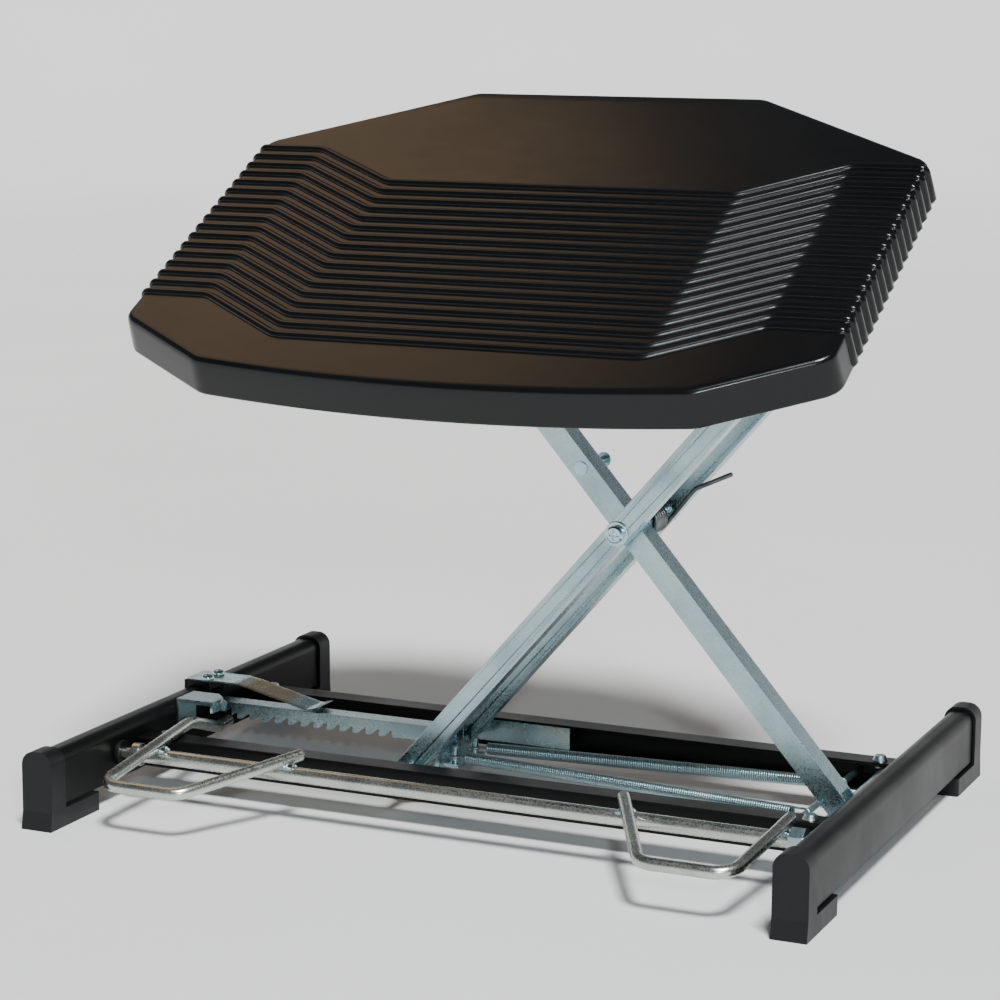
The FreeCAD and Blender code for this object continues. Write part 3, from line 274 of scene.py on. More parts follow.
class Finish:
    """Builder of one procedural material on object coordinates."""

    def __init__(self, name):
        self.material = bpy.data.materials.new(name)
        self.material.use_nodes = True
        self.nodes = self.material.node_tree.nodes
        self.links = self.material.node_tree.links
        self.shader = self.nodes["Principled BSDF"]
        self.coords = self.nodes.new("ShaderNodeTexCoord").outputs["Object"]

    def mapped(self, scale, turn=(0.0, 0.0, 0.0)):
        """Object coordinates turned and stretched."""
        node = self.nodes.new("ShaderNodeMapping")
        node.inputs["Rotation"].default_value = turn
        node.inputs["Scale"].default_value = scale
        self.links.new(self.coords, node.inputs["Vector"])
        return node.outputs["Vector"]

    def noise(self, scale, detail=4.0, rough=0.55, vector=None):
        """Fractal noise value."""
        node = self.nodes.new("ShaderNodeTexNoise")
        node.inputs["Scale"].default_value = scale
        node.inputs["Detail"].default_value = detail
        node.inputs["Roughness"].default_value = rough
        self.links.new(vector if vector is not None else self.coords, node.inputs["Vector"])
        return node.outputs["Fac"]

    def ramp(self, value, stops):
        """Colour ramp over a value: stops are (position, colour)."""
        node = self.nodes.new("ShaderNodeValToRGB")
        ramp = node.color_ramp
        ramp.elements[0].position, ramp.elements[1].position = stops[0][0], stops[-1][0]
        ramp.elements[0].color = (*stops[0][1], 1.0)
        ramp.elements[1].color = (*stops[-1][1], 1.0)
        for position, colour in stops[1:-1]:
            ramp.elements.new(position).color = (*colour, 1.0)
        self.links.new(value, node.inputs["Fac"])
        return node.outputs["Color"]

    def spread(self, value, low, high, from_low=0.3, from_high=0.7):
        """Value stretched from one range to another."""
        node = self.nodes.new("ShaderNodeMapRange")
        node.inputs["From Min"].default_value = from_low
        node.inputs["From Max"].default_value = from_high
        node.inputs["To Min"].default_value = low
        node.inputs["To Max"].default_value = high
        self.links.new(value, node.inputs["Value"])
        return node.outputs["Result"]

    def sum(self, a, b, operation="ADD"):
        """Sum, or other operation, of two values."""
        node = self.nodes.new("ShaderNodeMath")
        node.operation = operation
        for value, socket in ((a, node.inputs[0]), (b, node.inputs[1])):
            if isinstance(value, (int, float)):
                socket.default_value = value
            else:
                self.links.new(value, socket)
        return node.outputs["Value"]

    def bump(self, value, strength, distance):
        """Bump from a value."""
        node = self.nodes.new("ShaderNodeBump")
        node.inputs["Strength"].default_value = strength
        node.inputs["Distance"].default_value = distance
        self.links.new(value, node.inputs["Height"])
        self.links.new(node.outputs["Normal"], self.shader.inputs["Normal"])

    def set(self, **values):
        """Plain numbers on the shader's own sockets."""
        names = {"metallic": "Metallic", "specular": "Specular IOR Level", "roughness": "Roughness"}
        for key, value in values.items():
            self.shader.inputs[names[key]].default_value = value

    def colour(self, output):
        self.links.new(output, self.shader.inputs["Base Color"])

    def roughness(self, output):
        self.links.new(output, self.shader.inputs["Roughness"])


def scaled(colour, k):
    """Colour brightened or darkened."""
    return tuple(min(1.0, c * k) for c in colour)


def plated(name, base, warm, stretch=(1.0, 1.0, 1.0), turn=(0.0, 0.0, 0.0), smooth=0.2, rough=0.42):
    """Zinc plating: cloudy blue patches, warm patches that are partly the plating's yellow tint and partly a
    painted warm reflection of the room, rolling streaks along the part and a fine grain.
    """
    f = Finish(name)
    cloud = f.noise(22.0, 5.0, 0.6)
    dark, light = scaled(base, 0.82), scaled(base, 1.14)
    # The last, warm stop is partly the plating's yellow tint and partly a painted warm reflection of the room
    f.colour(f.ramp(cloud, [(0.30, dark), (0.46, base), (0.60, light), (0.78, warm)]))
    streaks = f.noise(60.0, 6.0, 0.62, f.mapped(stretch, turn))
    marks = f.noise(700.0, 2.0, 0.5)
    mixed = f.sum(f.sum(streaks, 0.5, "MULTIPLY"), f.sum(marks, 0.5, "MULTIPLY"))
    f.roughness(f.spread(mixed, smooth + 0.05, rough, 0.36, 0.62))
    f.bump(marks, 0.02, 0.00003)
    f.set(metallic=1.0)
    return f.material


def painted(name, base, rough=0.34):
    """Black paint: faint orange peel and duller, paler dusty patches."""
    f = Finish(name)
    dust = f.noise(9.0, 5.0, 0.6)
    f.colour(f.ramp(dust, [(0.35, scaled(base, 0.8)), (0.6, base), (0.8, scaled(base, 1.7))]))
    peel = f.noise(900.0, 2.0, 0.5)
    f.roughness(f.spread(dust, rough - 0.06, rough + 0.12))
    f.bump(peel, 0.05, 0.0002)
    f.set(specular=0.16)
    return f.material


def moulded(name, base, grain=1400.0, low=0.36, high=0.5, depth=0.12, gloss=0.3):
    """Moulded black plastic: fine spark grain, slow gloss changes and faint scuffs."""
    f = Finish(name)
    slow = f.noise(7.0, 3.0, 0.5)
    scuff = f.noise(45.0, 6.0, 0.7, f.mapped((1.0, 3.2, 1.0), (0.0, 0.0, 0.5)))
    f.colour(f.ramp(slow, [(0.3, scaled(base, 0.85)), (0.7, scaled(base, 1.25))]))
    mixed = f.sum(f.sum(slow, 0.6, "MULTIPLY"), f.sum(scuff, 0.4, "MULTIPLY"))
    f.roughness(f.spread(mixed, low, high, 0.38, 0.62))
    f.bump(f.noise(grain, 2.0, 0.6), depth, 0.0003)
    f.set(specular=gloss)
    return f.material


# Tray

def tray_corners(sizes, inset):
    """Corners of the octagon, inset evenly: each side moves in and meets its neighbours again."""
    w, back, front = sizes.half_width, sizes.back, sizes.front
    back_half, side_back, side_front, front_half = 0.105, 0.101, 0.120, 0.164
    sb = math.hypot(w - back_half, back - side_back)
    sf = math.hypot(w - front_half, front - side_front)
    db = inset * (sb - (w - back_half)) / (back - side_back)
    eb = inset * (sb - (back - side_back)) / (w - back_half)
    df = inset * (sf - (w - front_half)) / (front - side_front)
    ef = inset * (sf - (front - side_front)) / (w - front_half)
    return np.array([[front_half - df, -front + inset], [w - inset, -side_front + ef],
                     [w - inset, side_back - eb], [back_half - db, back - inset]])


def corner_arc(a, p, b, radius, count=13):
    """Arc that rounds corner p between a and b."""
    u, w = unit(a - p), unit(b - p)
    half = math.acos(float(np.clip(u @ w, -1.0, 1.0))) / 2.0
    inward = unit(u + w)
    centre = p + inward * radius / math.sin(half)
    start = p + u * radius / math.tan(half) - centre
    sweep = math.pi - 2.0 * half
    turn = 1.0 if start[0] * (b - a)[1] - start[1] * (b - a)[0] > 0 else -1.0
    t = np.linspace(0.0, sweep, count)[:, None] * turn
    side = np.array([-start[1], start[0]])
    return centre + np.cos(t) * start + np.sin(t) * side


def tray_edges(sizes, inset, radius):
    """Right half of the rounded outline, from the middle of the front to the middle of the back."""
    c = tray_corners(sizes, inset)
    x = np.linspace(0.0, c[0, 0], 40)
    bowed = np.stack([x, c[0, 1] - sizes.bow * (1.0 - (x / c[0, 0]) ** 2)], axis=1)
    front_arc = corner_arc(bowed[-2], c[0], c[1], radius)
    lower = corner_arc(c[0], c[1], c[2], radius)
    upper = corner_arc(c[1], c[2], c[3], radius)
    back_arc = corner_arc(c[2], c[3], np.array([0.0, c[3, 1]]), radius)
    keep = bowed[bowed[:, 0] < front_arc[0, 0]]
    half_low, half_up = len(lower) // 2, len(upper) // 2
    front_side = np.vstack([keep, front_arc, lower[:half_low + 1]])
    side = np.vstack([lower[half_low:], upper[:half_up + 1]])
    back_side = np.vstack([upper[half_up:], back_arc, [[0.0, c[3, 1]]]])
    return front_side, side, back_side


def rib_bend(x):
    """How far a rib steps to the user at x: none near the sides, full in the middle, with soft corners."""
    outer, inner, shift, soft = 0.1887, 0.122, 0.0393, 0.022
    t = (outer - np.abs(x)) / (outer - inner)
    plus = np.logaddexp(0.0, t / soft) * soft
    minus = np.logaddexp(0.0, (t - 1.0) / soft) * soft
    return -shift * (plus - minus)


def tray_points(sizes):
    """Closed surface of the tray in its own plane (x, s, n), n up from the top face.

    The top is a grid whose rows follow the ribs: n = sqrt(r^2 - d^2) - sink at d from a rib's middle.
    Two Coons patches carry the rows on to the front and back edges. The rim follows as rings about the
    boundary: a quarter round, the skirt, its lip, the inner wall, and the flat underside closes it.
    """
    columns = 151
    sink = 0.0009
    inset = sizes.edge + 0.001
    front_side, side, back_side = tray_edges(sizes, inset, 0.010)
    end = front_side[-1]
    top = side[-1]
    x_unit = np.linspace(-1.0, 1.0, columns)
    half = (sizes.ribs - 1) / 2.0
    local = np.array([-3.7, -3.07, -2.75, -2.0, -0.8, 0.8, 2.0, 2.75, 3.07, 3.7]) * MM * sizes.rib / 0.0032
    middle = (np.arange(sizes.ribs) - half) * sizes.pitch
    v = (middle[:, None] + np.zeros(len(local))[None, :]).ravel()
    d = np.tile(local, sizes.ribs)
    height = np.sqrt(np.maximum(sizes.rib ** 2 - d ** 2, 0.0)) - sink
    height = np.maximum(height, 0.0)
    s_end = v + d
    x_end = np.interp(s_end, side[:, 1], side[:, 0])
    x = x_end[:, None] * x_unit[None, :]
    step = 1e-5
    slope = (rib_bend(x + step) - rib_bend(x - step)) / (2.0 * step)
    fade = np.clip((x_end[:, None] - np.abs(x)) / 0.004, 0.0, 1.0)
    s = v[:, None] + rib_bend(x) + d[:, None] * np.sqrt(1.0 + slope ** 2 * fade)
    zone = np.stack([x, s, np.repeat(height[:, None], columns, axis=1)], axis=-1)

    def patch(inner_row, outer_x, outer_s, limit, rows):
        """Coons patch between a rib row and the edge, bounded at both ends by the tray's sides."""
        corner_x, corner_s = limit
        ox = corner_x * x_unit
        outer = np.stack([ox, np.interp(np.abs(ox), outer_x, outer_s), np.zeros(columns)], axis=-1)
        g = np.linspace(0.0, 1.0, rows + 1)[:, None]
        edge_s = inner_row[-1, 1] * (1 - g[:, 0]) + corner_s * g[:, 0]
        edge_x = np.interp(edge_s, side[:, 1], side[:, 0])
        right = np.stack([edge_x, edge_s, np.zeros(rows + 1)], axis=-1)
        left = right * np.array([-1.0, 1.0, 1.0])
        u = ((x_unit + 1.0) / 2.0)[None, :, None]
        gg = g[:, :, None]
        blend = (1 - gg) * inner_row[None] + gg * outer[None] + (1 - u) * left[:, None] + u * right[:, None]
        corners = ((1 - gg) * ((1 - u) * inner_row[0] + u * inner_row[-1])
                   + gg * ((1 - u) * outer[0] + u * outer[-1]))
        return blend - corners

    back_row = zone[-1] * np.array([1.0, 1.0, 0.0])
    front_row = zone[0] * np.array([1.0, 1.0, 0.0])
    bx, bs = back_side[::-1, 0], back_side[::-1, 1]
    back = patch(back_row, bx, bs, top, 16)[1:]
    front = patch(front_row, front_side[:, 0], front_side[:, 1], end, 14)[1:]
    grid = np.concatenate([front[::-1], zone, back], axis=0)
    flat = grid.reshape(-1, 3)
    r, c = len(grid), columns
    loop = np.concatenate([np.arange(c), np.arange(1, r) * c + c - 1,
                           (r - 1) * c + np.arange(c - 2, -1, -1), np.arange(r - 2, 0, -1) * c])
    rim = flat[loop]
    run = np.roll(rim[:, :2], -1, axis=0) - np.roll(rim[:, :2], 1, axis=0)
    out = unit(np.stack([run[:, 1], -run[:, 0]], axis=1))
    h = rim[:, 2]
    e = sizes.edge
    rings = []
    for angle in np.radians([22.5, 45.0, 67.5, 90.0]):
        rings.append(((e + h) * math.sin(angle), (e + h) * math.cos(angle) - e))
    drop = sizes.skirt
    lean = 0.0020
    wall = sizes.wall
    rings += [(e + h + lean * 0.5, -drop * 0.55), (e + h + lean * 0.92, -drop + 0.0022),
              (e + 0.4 * h + lean, -drop + 0.0009), (e + lean - 0.0008, -drop),
              (e + lean - wall, -drop), (e - wall + lean * 0.5, -drop * 0.5),
              (e - wall, -wall - 0.002), (e - wall - 0.0007, -wall - 0.0005)]
    ring_points = np.stack([np.concatenate([rim[:, :2] + out * np.asarray(o)[..., None],
                                            (np.asarray(n) + 0 * h)[:, None]], axis=1) for o, n in rings])
    under = flat * np.array([1.0, 1.0, 0.0]) - np.array([0.0, 0.0, sizes.wall])
    points = np.vstack([flat, ring_points.reshape(-1, 3), under])
    count = len(loop)
    top_faces = grid_faces(r, c)
    base = len(flat)
    index = [loop] + [base + k * count + np.arange(count) for k in range(len(rings))]
    index.append(base + len(rings) * count + loop)
    strips = [np.stack([a, b, np.roll(b, -1), np.roll(a, -1)], axis=-1)
              for a, b in zip(index[:-1], index[1:])]
    under_faces = grid_faces(r, c)[:, ::-1] + base + len(rings) * count
    return points, np.vstack([top_faces] + strips + [under_faces])


def tilted(points, tilt):
    """From the tray's plane to where it stands: turned by the tilt about the hinge below it."""
    x, s, n = points[..., 0], points[..., 1], points[..., 2] + HINGE_TO_TOP
    return np.stack([x + HINGE_X, HINGE_Y + s * math.cos(tilt) - n * math.sin(tilt),
                     HINGE_Z + s * math.sin(tilt) + n * math.cos(tilt)], axis=-1)


def revolved(profile, sides):
    """Profile of (radius, height) turned about the Z axis."""
    a = np.linspace(0.0, 2.0 * math.pi, sides, endpoint=False)
    r, z = profile[:, 0], profile[:, 1]
    height = np.repeat(z[:, None], sides, axis=1)
    return np.stack([r[:, None] * np.cos(a), r[:, None] * np.sin(a), height], axis=-1)


class FOOTREST_OT_tray(bpy.types.Operator):
    """Moulded tray with its ribs, skirt and screw bosses"""

    bl_idname = "footrest.tray"
    bl_label = "Tray"

    def execute(self, context):
        sizes = context.scene.footrest_tray
        colours = context.scene.footrest_colours
        black = moulded("tray_plastic", tuple(colours.tray), 1500.0, 0.18, 0.26, 0.04, 0.34)
        points, faces = tray_points(sizes)
        tray = new_object("ribbed_tray", tilted(points, sizes.tilt), faces, "platform")
        tray.data.materials.append(black)
        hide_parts("tray")
        profile = np.array([[0.0, -0.0029], [0.0062, -0.0029], [0.0060, -0.0066], [0.0056, -0.00695],
                            [0.0030, -0.00695], [0.0, -0.00695]])
        ring = revolved(profile, 32)
        for k, (x, y) in enumerate(((-1, -1), (1, -1), (-1, 1), (1, 1))):
            place = ring + np.array([x * 0.098, 0.014 + y * 0.033, 0.0])
            faces = grid_faces(len(profile), 32, wrap_columns=True)[:, ::-1]
            boss = new_object("tray_boss_%d" % k, tilted(place, sizes.tilt), faces,
                              "platform")
            boss.data.materials.append(black)
        return {"FINISHED"}


# Pedals

class FOOTREST_OT_pedals(bpy.types.Operator):
    """Wire pedals welded to the pedal rod, the left one with its lever"""

    bl_idname = "footrest.pedals"
    bl_label = "Pedals"

    def execute(self, context):
        metal = context.scene.footrest_metal
        colours = context.scene.footrest_colours
        # The pedals' warm patches, a little brighter, are partly the plating's tint and partly a painted warm
        # reflection
        bright = plated("pedal_plating", tuple(colours.wire), scaled(tuple(colours.zinc_tint_and_reflection), 1.05),
                        (1.0, 5.0, 5.0), (0.0, 0.0, 0.0), 0.16, 0.34)
        front, rod, slope = -175.0, -105.0, 0.14
        rod_middle, rod_radius, wire_radius = 31.5, 5.0, 4.0
        weld = rod_middle + rod_radius + wire_radius
        low = weld + slope * (front - rod)
        end = weld + slope * 11.0
        far = -179.0
        lowest = weld + slope * (far - rod)
        left = np.array([[-111, -94, end], [-156, front, low], [-213, front, low], [-211, rod, weld + 0.1],
                         [-218.5, -52, weld + 1.3], [-229.5, 4, 23.6], [-232, 24, 23.6]]) * MM
        right = np.array([[111, -94, end], [153.8, far, lowest], [210.4, far, lowest],
                          [218.5, -94, end]]) * MM
        routes = {"left_wire_pedal": rounded_route(left, [0.014, 0.014, 0.06, 0.06, 0.03], 0.0016),
                  "right_wire_pedal": rounded_route(right, [0.014, 0.014], 0.0016)}
        for (name, route), node in zip(routes.items(), ("left_pedal", "right_pedal")):
            across = np.repeat(unit(np.array([[0.0, -slope, 1.0]])), len(route), axis=0)
            wire = closed_tube(name, route, metal.wire, 28, across, "pedal_bar")
            wire.data.materials.append(bright)
            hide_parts(node)
        weld_metal = plated("weld_bead", scaled(tuple(colours.zinc), 0.8), tuple(colours.wire), (1, 1, 1),
                            (0, 0, 0), 0.3, 0.55)
        for k, x in enumerate((-211.0, -116.8, 116.5, 217.4)):
            for side in (-1, 1):
                t = np.linspace(-1.0, 1.0, 33)
                path = np.stack([x + 6.0 * t, rod + side * (4.3 - 0.9 * t ** 2),
                                 36.2 + 0.5 * np.cos(3.1 * t)], axis=1) * MM
                radius = (1.75 * np.sqrt(np.maximum(1.0 - t ** 2, 0.02)) + 0.16 * np.sin(17.0 * t)) * MM
                rings = tube_points(path, radius, 14, np.repeat([[0.0, 0.0, 1.0]], 33, axis=0))
                bead = new_object("pedal_weld_%d_%s" % (k, "a" if side < 0 else "b"), rings,
                                  grid_faces(33, 14, wrap_columns=True), "pedal_bar")
                bead.data.materials.append(weld_metal)
        dress(("pedal_rod", "rod_collar"), bright)
        return {"FINISHED"}


# Springs

def assist_path(start, end, radius, turns, tail):
    """Coil along the line from start to end with a flat hook at its start and a standing hook at its end.

    Coil: base + d p a / 2 pi + side r cos a + up r sin a. Each hook is three quarters of a ring.
    The tails join hook and coil with a smooth cubic.
    """
    d = unit(end - start)
    side = np.array([-d[1], d[0], 0.0])
    up = np.array([0.0, 0.0, 1.0])
    run = np.linalg.norm(end - start) - 2.0 * tail
    wound = turns + 0.25
    per_turn = 20
    a = np.linspace(0.0, 2.0 * math.pi * wound, int(per_turn * wound) + 1)
    base = start + d * tail
    coil_across = np.outer(np.cos(a), side) + np.outer(np.sin(a), up)
    coil = base + np.outer(a / a[-1] * run, d) + radius * coil_across

    def ring(centre, out, ahead, count=22):
        """Three quarters of a ring, from beside the pin, round ahead of it and back."""
        t = np.linspace(0.0, 1.5 * math.pi, count)
        return centre + radius * (np.outer(np.cos(t), out) + np.outer(np.sin(t), ahead))

    def join(p, dp, q, dq, count=10):
        """Cubic from p to q with the given end directions."""
        t = np.linspace(0.0, 1.0, count + 2)[1:-1, None]
        return ((2 * t ** 3 - 3 * t ** 2 + 1) * p + (t ** 3 - 2 * t ** 2 + t) * dp
                + (-2 * t ** 3 + 3 * t ** 2) * q + (t ** 3 - t ** 2) * dq)

    first = ring(start, side, -d)[::-1]
    last = ring(end, up, d)
    reach = tail * 0.9
    lead_in = join(first[-1], d * reach, coil[0], unit(coil[1] - coil[0]) * radius * 2.0)
    lead_out = join(coil[-1], unit(coil[-1] - coil[-2]) * radius * 2.0, last[0], d * reach)
    path = np.vstack([first, lead_in, coil, lead_out, last])
    across = np.vstack([np.repeat([up], len(first), axis=0), np.linspace(up, side, len(lead_in)),
                        coil_across, np.linspace(coil_across[-1], side, len(lead_out)),
                        np.repeat([side], len(last), axis=0)])
    return path, across


class FOOTREST_OT_springs(bpy.types.Operator):
    """Assist springs in the base and the torsion spring on the crossing"""

    bl_idname = "footrest.springs"
    bl_label = "Springs"

    def execute(self, context):
        metal = context.scene.footrest_metal
        colours = context.scene.footrest_colours
        steel = plated("spring_wire", scaled(tuple(colours.zinc), 0.86), tuple(colours.zinc_tint_and_reflection), (4, 1, 1),
                       (0, 0, 0), 0.2, 0.4)
        z = 0.0265
        anchor = 0.208
        rows = (("front_assist_spring", "assist_spring_front", (-0.0442, -0.004, z), (anchor, -0.033, z)),
                ("rear_assist_spring", "assist_spring_rear", (-0.0415, 0.0215, z), (anchor, 0.042, z)))
        for name, node, start, end in rows:
            path, across = assist_path(np.array(start), np.array(end), metal.spring, metal.turns, 0.009)
            spring = closed_tube(name, path, metal.spring_wire, 8, across, None)
            spring.data.materials.append(steel)
            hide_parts(node)
            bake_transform(spring)
        self.torsion(metal)
        return {"FINISHED"}

    def torsion(self, metal):
        """Coil about the crossing, with an arm up leg B at its start and a kinked arm up leg A at its end."""
        angle_a = STRUT_LEAN + math.radians(8.0)
        angle_b = math.pi - STRUT_LEAN - math.asin(4.6 / 48.0)
        start, stop = angle_b + math.pi / 2.0, angle_a - math.pi / 2.0
        total = 10.0 * math.pi + (stop - start) % (2.0 * math.pi)
        pitch = 0.0039
        rise = pitch * total / (2.0 * math.pi)
        t = np.linspace(0.0, 1.0, 190)
        a = start + total * t
        r = metal.torsion
        coil = np.array(CROSSING) + np.stack([r * np.cos(a), rise * t, r * np.sin(a)], axis=1)
        first = unit(coil[1] - coil[0])
        last = unit(coil[-1] - coil[-2])
        arm_in = coil[0] - np.outer(np.linspace(0.054, 0.0006, 40), first)
        kink = coil[-1] + last * 0.031
        slope = math.radians(24.8)
        bend = np.array([math.cos(slope), 0.0, math.sin(slope)])
        arm_out = rounded_route([coil[-1], kink, kink + bend * 0.0275], [0.008], 0.0012)[1:]
        path = np.vstack([arm_in, coil, arm_out])
        across = np.repeat([[0.0, 1.0, 0.0]], len(path), axis=0)
        f = Finish("oiled_spring_steel")
        f.colour(f.ramp(f.noise(60.0), [(0.3, (0.070, 0.075, 0.080)), (0.7, (0.20, 0.215, 0.225))]))
        f.roughness(f.spread(f.noise(240.0), 0.25, 0.42))
        f.set(metallic=0.9)
        spring = closed_tube("crossing_spring", path, metal.torsion_wire, 16, across, None)
        spring.data.materials.append(f.material)
        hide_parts("torsion_spring")
        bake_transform(spring)


# Black base

class FOOTREST_OT_base(bpy.types.Operator):
    """Rails, plastic ends, cross channels and what is fixed to them"""

    bl_idname = "footrest.base"
    bl_label = "Base"

    def execute(self, context):
        colours = context.scene.footrest_colours
        paint = painted("black_paint", tuple(colours.paint))
        cap = moulded("cap_plastic", tuple(colours.cap), 1100.0, 0.40, 0.55, 0.2)
        zinc = plated("base_plating", tuple(colours.zinc), tuple(colours.zinc_tint_and_reflection), (1, 1, 4))
        dress(("left_rail", "right_rail", "front_beam", "rear_beam", "beam_lugs", "leaf_saddle"), paint)
        dress(("cap_front_left", "cap_front_right", "cap_back_left", "cap_back_right"), cap, 0.0022, 4)
        dress(("rod_bushes",), cap)
        dress(("hinge_axle", "hinge_spacers", "spring_bar", "rod_nut", "beam_rivets"), zinc, 0.0003)
        return {"FINISHED"}


class FOOTREST_OT_scissor(bpy.types.Operator):
    """Plated struts, their axles, sleeves and the sliding foot"""

    bl_idname = "footrest.scissor"
    bl_label = "Scissor frame"

    def execute(self, context):
        colours = context.scene.footrest_colours
        base, warm = tuple(colours.zinc), tuple(colours.zinc_tint_and_reflection)
        drawn = (0.12, 1.0, 1.0)
        along_a = plated("leg_a_plating", base, warm, drawn, (0.0, STRUT_LEAN, 0.0), 0.16, 0.36)
        along_b = plated("leg_b_plating", base, warm, drawn, (0.0, -STRUT_LEAN, 0.0), 0.16, 0.36)
        bright = plated("bright_plating", scaled(base, 1.18), warm, (1, 1, 1), (0, 0, 0), 0.12, 0.26)
        dress(("leg_a_front", "leg_a_rear"), along_a)
        dress(("leg_b",), along_b)
        turned = plated("turned_plating", base, warm, (1, 5, 1), (0, 0, 0), 0.14, 0.32)
        dress(("leg_b_barrel", "cross_sleeve", "foot_axle", "foot_shoes", "foot_sleeve", "spring_yoke",
               "upper_axle_fixed", "upper_axle_sliding", "upper_sleeves"), turned)
        dress(("cross_bolt", "cross_nut", "cross_washers", "leg_b_rivet"), bright, 0.00035)
        return {"FINISHED"}


def pan_head(centre, radius, height, turn):
    """Pan head: a polar grid, z = height (1 - (r/R)^4)^(1/2), with a cross recess pressed into its middle."""
    r = np.concatenate([np.linspace(0.0, 0.72, 22), np.linspace(0.76, 1.0, 10)])
    a = np.linspace(0.0, 2.0 * math.pi, 72, endpoint=False)
    rr, aa = np.meshgrid(r, a, indexing="ij")
    z = height * np.sqrt(np.maximum(1.0 - rr ** 4, 0.0))
    x, y = rr * np.cos(aa - turn), rr * np.sin(aa - turn)
    across, along = np.abs(x), np.abs(y)
    arm = np.minimum(np.maximum(across / 0.52, along / 0.13), np.maximum(along / 0.52, across / 0.13))
    press = 1.0 / (1.0 + np.exp((arm - 1.0) / 0.06))
    z = z - height * 0.55 * press
    return np.asarray(centre) + np.stack([radius * rr * np.cos(aa), radius * rr * np.sin(aa), z], axis=-1)


class FOOTREST_OT_rack(bpy.types.Operator):
    """Toothed rack, leaf spring with its screws, and the lever's guide"""

    bl_idname = "footrest.rack"
    bl_label = "Rack"

    def execute(self, context):
        colours = context.scene.footrest_colours
        base, warm = tuple(colours.zinc), tuple(colours.zinc_tint_and_reflection)
        pressed = plated("rack_plating", base, warm, (0.15, 1.0, 1.0), (0, 0, 0), 0.18, 0.36)
        dress(("ratchet_rack",), pressed)
        guide = plated("guide_plating", scaled(base, 1.05), warm, (1, 1, 1), (0, 0, 0), 0.18, 0.4)
        dress(("guide_bracket", "guide_bolt"), guide)
        strip = self.strip_metal(tuple(colours.leaf), base)
        finish_node("leaf_base", strip)
        self.leaf(strip)
        bright = plated("screw_plating", scaled(base, 1.2), warm, (1, 1, 1), (0, 0, 0), 0.12, 0.26)
        for k, y in enumerate((0.0175, 0.0325)):
            points = pan_head((-0.245, y, 0.0535), 0.0044, 0.0028, 0.4 + 0.9 * k)
            head = new_object("leaf_screw_%d" % k, points, grid_faces(32, 72, wrap_columns=True),
                              "base")
            head.data.materials.append(bright)
        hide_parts("leaf_screws")
        return {"FINISHED"}

    def strip_metal(self, yellow, grey):
        """Plated strip whose sloping part has yellowed: the colour follows the length of the strip."""
        f = Finish("leaf_plating")
        split = f.nodes.new("ShaderNodeSeparateXYZ")
        f.links.new(f.coords, split.inputs["Vector"])
        ragged = f.sum(split.outputs["X"], f.sum(f.noise(55.0), 0.008, "MULTIPLY"))
        place = f.spread(ragged, 0.0, 1.0, -0.226, -0.150)
        pale = scaled(grey, 1.1)
        f.colour(f.ramp(place, [(0.12, pale), (0.24, yellow), (0.60, scaled(yellow, 0.86)), (0.74, pale),
                                (0.9, grey)]))
        f.roughness(f.spread(f.noise(120.0, 3.0), 0.18, 0.32))
        f.set(metallic=1.0)
        return f.material

    def leaf(self, strip):
        """Bent strip, straight across: the blade's line with rounded bends and a tip 7 mm shorter."""
        line = rounded_route(np.array([[-221.7, 53.0, 0.0], [-213.0, 51.6, 0.0], [-165.0, 40.3, 0.0],
                                       [-157.0, 42.6, 0.0]]) * MM, [0.02, 0.006], 0.0012)
        along = unit(np.gradient(line[:, :2], axis=0))
        square = np.stack([-along[:, 1], along[:, 0]], axis=1)
        t = 0.00045
        section = np.vstack([line[:, :2] + square * t, (line[:, :2] - square * t)[::-1]])
        ys = np.concatenate([[0.0130, 0.0132], np.linspace(0.0136, 0.0364, 9), [0.0368, 0.0370]])
        shrink = np.concatenate([[0.55, 0.9], np.ones(9), [0.9, 0.55]])
        centre = np.vstack([line[:, :2], line[::-1, :2]])
        rows = []
        for y, k in zip(ys, shrink):
            thinned = centre + (section - centre) * k
            rows.append(np.stack([thinned[:, 0], np.full(len(section), y), thinned[:, 1]], axis=-1))
        points = np.stack(rows)
        n = len(section)
        faces = [tuple(f) for f in grid_faces(len(ys), n, wrap_columns=True)]
        last = (len(ys) - 1) * n
        half = n // 2
        for k in range(half - 1):
            faces.append((k, k + 1, n - 2 - k, n - 1 - k))
            faces.append((last + k + 1, last + k, last + n - 1 - k, last + n - 2 - k))
        mesh = bpy.data.meshes.new("leaf_strip")
        mesh.from_pydata(points.reshape(-1, 3).tolist(), [], faces)
        piece = place_mesh("leaf_strip", mesh, "leaf")
        piece.data.materials.append(strip)
        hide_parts("leaf_blade")


class FOOTREST_OT_carrier(bpy.types.Operator):
    """Upper frame, tilt hinge and the plate under the tray"""

    bl_idname = "footrest.carrier"
    bl_label = "Upper frame"

    def execute(self, context):
        colours = context.scene.footrest_colours
        base, warm = tuple(colours.zinc), tuple(colours.zinc_tint_and_reflection)
        rolled = plated("carrier_plating", base, warm, (0.15, 1.0, 1.0), (0, 0, 0), 0.2, 0.4)
        paint = painted("carrier_paint", tuple(colours.paint), 0.4)
        dress(("upper_beam_front", "upper_beam_rear"), rolled, 0.0005)
        dress(("tilt_tie_left", "tilt_tie_right", "tray_hanger"), paint)
        nylon = moulded("shoe_plastic", tuple(colours.cap), 900.0, 0.4, 0.55, 0.1)
        dress(("upper_shoes",), nylon)
        bright = plated("hinge_plating", scaled(base, 1.15), warm, (1, 1, 1), (0, 0, 0), 0.14, 0.3)
        dress(("tilt_shaft", "tilt_nuts", "tray_screws"), bright)
        return {"FINISHED"}


# Stage

def framed(x_axis, y_axis, z_axis, place):
    """Matrix with the given axes and place."""
    rows = [[float(x_axis[k]), float(y_axis[k]), float(z_axis[k]), place[k]] for k in range(3)]
    return Matrix(rows + [[0, 0, 0, 1]])


